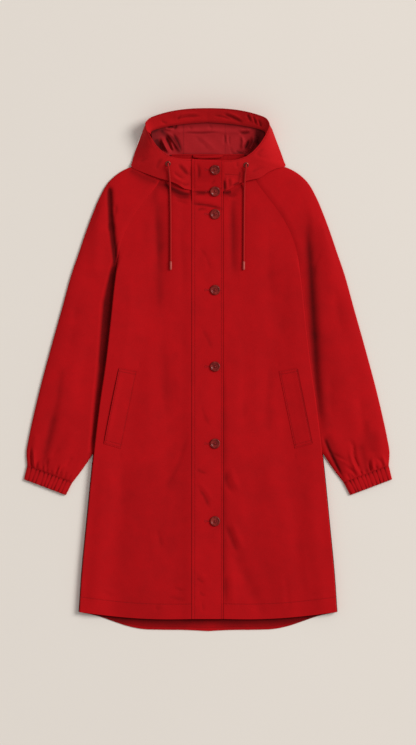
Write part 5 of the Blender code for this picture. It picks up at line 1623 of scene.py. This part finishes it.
def strand_paths():
    """Threads that cross between a button's four holes, in millimetres above its seat."""
    part = np.linspace(-1.0, 1.0, 13)
    paths = []
    for lift, (start_x, start_y) in ((0.0, (1, 1)), (0.35, (1, -1))):
        for shift in (-0.34, 0.0, 0.34):
            reach = BUTTON_HOLE_SPACING * (1.0 + 0.08 * np.cos(shift * 9.0))
            aside = shift * (1.0 - 0.5 * np.abs(part))
            x = start_x * reach * part - start_y * aside * 0.7
            y = start_y * reach * part + start_x * aside * 0.7
            z = 0.7 + (1.5 + lift) * np.sqrt(np.clip(1.0 - part**4, 0.0, 1.0))
            paths.append(np.stack([x, y, z], axis=1))
    return paths


def joined(name, meshes):
    """One mesh from several, each left where it is."""
    whole = bmesh.new()
    for mesh in meshes:
        whole.from_mesh(mesh)
    result = bpy.data.meshes.new(name)
    whole.to_mesh(result)
    whole.free()
    return result


def seat_of(node):
    """Middle of a small round node's underside, and the direction that it faces."""
    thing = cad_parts[node]
    places = np.array([thing.matrix_world @ point.co for point in thing.data.vertices])
    middle = places.mean(axis=0)
    normal = np.linalg.svd(places - middle)[2][-1]
    normal = normal if normal[2] > 0 else -normal
    depth = (places - middle) @ normal
    spread = (places.max(axis=0) + places.min(axis=0)) / 2.0
    offset = (spread - middle) - normal * ((spread - middle) @ normal)
    return middle + offset + normal * depth.min(), Vector(normal)


def place_mesh(mesh, place, normal):
    """Set a small mesh on a sloping place, its own Z along the slope's normal."""
    turn = Vector((0.0, 0.0, 1.0)).rotation_difference(normal).to_matrix().to_4x4()
    mesh.transform(Matrix.Translation(Vector(place)) @ turn)
    return mesh


def tube_mesh(name, path, radii, around, braid=0.0):
    """Round tube along a path in metres, with rounded ends and its place round and along it."""
    points = np.array(path)
    tangents = np.gradient(points, axis=0)
    tangents /= np.linalg.norm(tangents, axis=1)[:, None]
    side = np.cross(tangents, (0.0, 0.0, 1.0))
    side /= np.maximum(np.linalg.norm(side, axis=1), 1e-9)[:, None]
    above = np.cross(side, tangents)
    run = run_over(points[:, None], 0)
    angle = np.linspace(0.0, math.tau, around, endpoint=False)
    twist = run * math.tau / (CORD_BRAID * MM)
    plait = np.sin(4.0 * angle + twist) * np.sin(4.0 * angle - twist)
    radius = (np.array(radii)[:, None] * (1.0 + braid * plait))[..., None]
    outward = np.cos(angle)[:, None] * side[:, None] + np.sin(angle)[:, None] * above[:, None]
    ring = points[:, None] + radius * outward
    last = (len(points) - 1) * around
    faces = grid_faces(len(points), around, closed=True).tolist()
    faces.append(tuple(range(around))[::-1])
    faces.append(tuple(range(last, last + around)))
    mesh = bpy.data.meshes.new(name)
    mesh.from_pydata(ring.reshape(-1, 3).tolist(), [], faces)
    corner = corners_of(mesh)
    part = (corner % around) / around
    whole = np.where((corner % around == 0) & (np.roll(corner, 1) % around > around // 2), 1.0, part)
    give_uv(mesh, np.stack([whole, run[corner // around, 0]], axis=1))
    return mesh


# Camera, straight above the jacket and far off, so that it looks as flat as in the photograph
camera = bpy.data.cameras.new("camera")
camera.lens = camera.sensor_width * CAMERA_AWAY / PHOTO_HEIGHT
camera.clip_end = 30.0
camera_thing = link("camera", camera)
camera_thing.location = (0.0, PHOTO_MIDDLE_Y, CAMERA_AWAY)
bpy.context.scene.camera = camera_thing

# Finishes
RED_CLOTH = cloth_finish("Red cotton cloth", (0.42, 0.0035, 0.006), 0.9, 0.25, 0.05, 0.08, 0.85)
HOOD_CLOTH = cloth_finish("Red cotton cloth of the hood", (0.45, 0.0055, 0.008), 0.9, 0.25, 0.08, 0.08, 0.85)
LINING_CLOTH = cloth_finish("Dusty red lining", (0.37, 0.012, 0.016), 0.6, 0.14, 0.03, 0.06, 0.66)
RED_THREAD = thread_finish("Red thread", (0.35, 0.004, 0.007))
BUTTON_THREAD = thread_finish("Button thread", (0.3, 0.012, 0.014))
HOLE_THREAD = thread_finish("Buttonhole thread", (0.27, 0.004, 0.006))
RESIN = resin_finish()
METAL = plain_finish(
    "Dark plated metal", (0.15, 0.018, 0.014), (0.42, 0.09, 0.075), (520.0, 3.0), 3200.0, (0.26, 0.22), 0.012,
    Metallic=1.0,
)
CORD = braid_finish()
TIP = plain_finish(
    "Pink cord tip", (0.34, 0.035, 0.03), (0.5, 0.085, 0.07), (260.0, 2.0), 2600.0, (0.4, 0.12), 0.015,
    Specular_IOR_Level=0.25,
)

# Drawcords, their tips and eyelets
for side_name, route in CORD_ROUTES.items():
    path = smooth_curve(route, 300) * MM
    radii = np.full(300, 0.5 * CORD_DIAMETER * MM * 0.96)
    cord = add_piece("cord_" + side_name, tube_mesh("cord", path, radii, 24, braid=0.06), CORD)
    end = np.array(route[-1]) + (0.0, -SEAM_GAP, TIP_LIFT)
    tip_path = [(end - (0.0, along, 0.0)) * MM for along, _ in TIP_PROFILE]
    tip_radii = [share * 0.5 * TIP_DIAMETER * MM for _, share in TIP_PROFILE]
    tip = add_piece("tip_" + side_name, tube_mesh("tip", tip_path, tip_radii, 28), TIP)
    ring = place_mesh(turned_shape(EYELET_PROFILE, 48, closed=True), *seat_of("eyelet_" + side_name))
    eyelet = add_piece("eyelet_ring_" + side_name, ring, METAL)
    hand_over(cord, "drawcord_" + side_name)
    hand_over(tip, "cord_tip_" + side_name)
    hand_over(eyelet, "eyelet_" + side_name)
    [tuple(point) for point in path[::10]] + [tuple(path[-1])]

# Cloth pieces
made = {"back": back_sheet(), "placket": placket_sheet()}
for side_name in SIDES:
    front = front_sheet(side_name)
    made["front_" + side_name] = front
    made["sleeve_" + side_name] = sleeve_sheet(side_name)
    made["hood_side_" + side_name] = hood_side_sheet(side_name)
    made["hood_facing_" + side_name] = facing_sheet(side_name)
    made["pocket_welt_" + side_name] = welt_sheet(side_name, surface_of(front[0]))
    made["cuff_" + side_name] = cuff_ring(side_name)
gap = 0.5 * SEAM_OPEN
made["hood_back"] = hood_back_sheet()
made["hood_lining_right"] = lining_sheet(None, LINING_SEAM_RIGHT_X - gap)
made["hood_lining_centre"] = lining_sheet(LINING_SEAM_RIGHT_X + gap, LINING_SEAM_LEFT_X - gap)
made["hood_lining_left"] = lining_sheet(LINING_SEAM_LEFT_X + gap, None)
made["neck_band"] = neck_band_sheet()
made["hang_loop"] = hang_loop_sheet()

cloth = {}
for node, sheet in made.items():
    lined = "lining" in node
    finish = LINING_CLOTH if lined else HOOD_CLOTH if node.startswith("hood") else RED_CLOTH
    cloth[node] = cloth_piece(node, sheet, finish, OTHER_WALLS.get(node, CLOTH), "cuff" in node)

for side_name in SIDES:
    hole = turned_shape([(EYELET_HOLE_RADIUS, 6.0), (EYELET_HOLE_RADIUS, -6.0)], 20)
    cut_holes(cloth["hood_side_" + side_name], [place_mesh(hole, *seat_of("eyelet_" + side_name))])

# Buttons and the threads that hold them
plain_button = button_mesh()
threads = []
for number, (y, turn) in enumerate(zip(BUTTON_Y, BUTTON_TURNS), 1):
    node = "button_" + str(number)
    place, normal = seat_of(node)
    mesh = plain_button.copy()
    mesh.transform(Matrix.Rotation(turn, 4, "Z"))
    button = add_piece("resin_" + node, place_mesh(mesh, place, normal), RESIN, smooth=False)
    hand_over(button, node)
    for strand in strand_paths():
        tube = tube_mesh("strand", strand * MM, np.full(len(strand), STRAND_RADIUS * MM), 8)
        tube.transform(Matrix.Rotation(turn, 4, "Z"))
        threads.append(place_mesh(tube, place, normal))
hand_over(add_piece("button_threads", joined("button threads", threads), BUTTON_THREAD))

# Rows of stitches
tops = {node: surface_of(points) for node, (points, _) in made.items() if node != "back"}


def row_on(node, *corners, step=3.0):
    """Path over one sheet along straight lines between some corners x, y."""
    places = []
    for start, end in zip(corners, corners[1:]):
        count = max(2, round(math.dist(start, end) / step) + 1)
        places.extend(between(start, end, part) for part in np.linspace(0.0, 1.0, count))
    return on_cloth(node, places)


def row_along(node, key):
    """Path over one sheet where its distance from a row of stitches is zero."""
    return on_cloth(node, [point[:2] for point in along_row(made[node], key)])


def welt_rows(side_name):
    """Stitches round a welt, doubled at its ends."""
    spans = [((0.05, down), (0.95, down)) for down in (0.013, 0.048, 0.952, 0.987)]
    spans += [((across, 0.013), (across, 0.987)) for across in (0.055, 0.945)]
    side = (SIDES[side_name], 1.0)
    return [row_on("pocket_welt_" + side_name, *[welt_place(*end) * side for end in span]) for span in spans]


placket_left, placket_right = PLACKET_ROWS
seam_paths = [
    row_on("placket", (placket_left, -492.0), (placket_left, 417.0)),
    row_on("placket", (placket_right, -492.0), (placket_right, 414.0)),
    row_on("placket", (-29.0, -491.4), (28.0, -491.4)),
    row_on("placket", (-29.0, 416.4), (27.0, 413.8)),
    row_along("neck_band", "row_1"),
    row_on("hang_loop", (-26.5, 428.4), (-26.5, 424.6)),
    row_on("hang_loop", (26.5, 428.4), (26.5, 424.6)),
    [
        ((x, np.interp(abs(x), *zip(*BACK_HEM)) + BACK_HEM_ROW, CLOTH + 0.1), (0.0, 0.0, 1.0))
        for x in np.linspace(-200.0, 200.0, 90)
    ],
]
for side_name in SIDES:
    seam_paths.append(row_along("front_" + side_name, "row_1"))
    seam_paths.append(row_along("hood_side_" + side_name, "row_2"))
    seam_paths.extend(welt_rows(side_name))
seam_paths.append(row_along("hood_side_left", "row_1"))
stitch_rows = stitch_tree(RED_THREAD)
stitched("seam_stitches", seam_paths, stitch_rows, RED_THREAD)

turns = np.linspace(0.42, math.tau - 0.42, 15)
eye = BUTTONHOLE_EYE * np.stack([np.cos(turns), np.sin(turns)], axis=1) + (BUTTONHOLE_EYE_X, 0.0)
outline = [(BUTTONHOLE_START_X, BUTTONHOLE_HALF), *eye, (BUTTONHOLE_START_X, -BUTTONHOLE_HALF)]
hole_paths = [row_on("placket", *(np.array(outline) + (0.0, y)), step=0.8) for y in BUTTON_Y]
hole_stitch = {"Spacing": 0.75, "Length": 1.5, "Thickness": 0.55, "Turn": math.pi / 2}
stitched("buttonhole_stitches", hole_paths, stitch_rows, HOLE_THREAD, **hole_stitch)

# Floor and light
floor_mesh = bpy.data.meshes.new("floor")
floor_corners = [(x * FLOOR_HALF, y * FLOOR_HALF, FLOOR_Z) for x, y in ((-1, -1), (1, -1), (1, 1), (-1, 1))]
floor_mesh.from_pydata(floor_corners, [], [(0, 1, 2, 3)])
add_piece("floor", floor_mesh, floor_finish(), smooth=False)

world = bpy.data.worlds.new("studio")
bpy.context.scene.world = world
world.use_nodes = True
sky = world.node_tree.nodes["Background"].inputs
sky["Color"].default_value = (1.0, 0.985, 0.96, 1.0)
sky["Strength"].default_value = WORLD_LIGHT
key = bpy.data.lights.new("soft key light", "AREA")
key.shape = "DISK"
key.size = LIGHT_SIZE
key.energy = LIGHT_POWER
key.color = (1.0, 0.99, 0.97)
key_thing = link("soft key light", key)
key_thing.location = LIGHT_PLACE
key_thing.rotation_euler = (-Vector(LIGHT_PLACE)).to_track_quat("-Z", "Y").to_euler()
bpy.context.scene.view_settings.view_transform = "Standard"
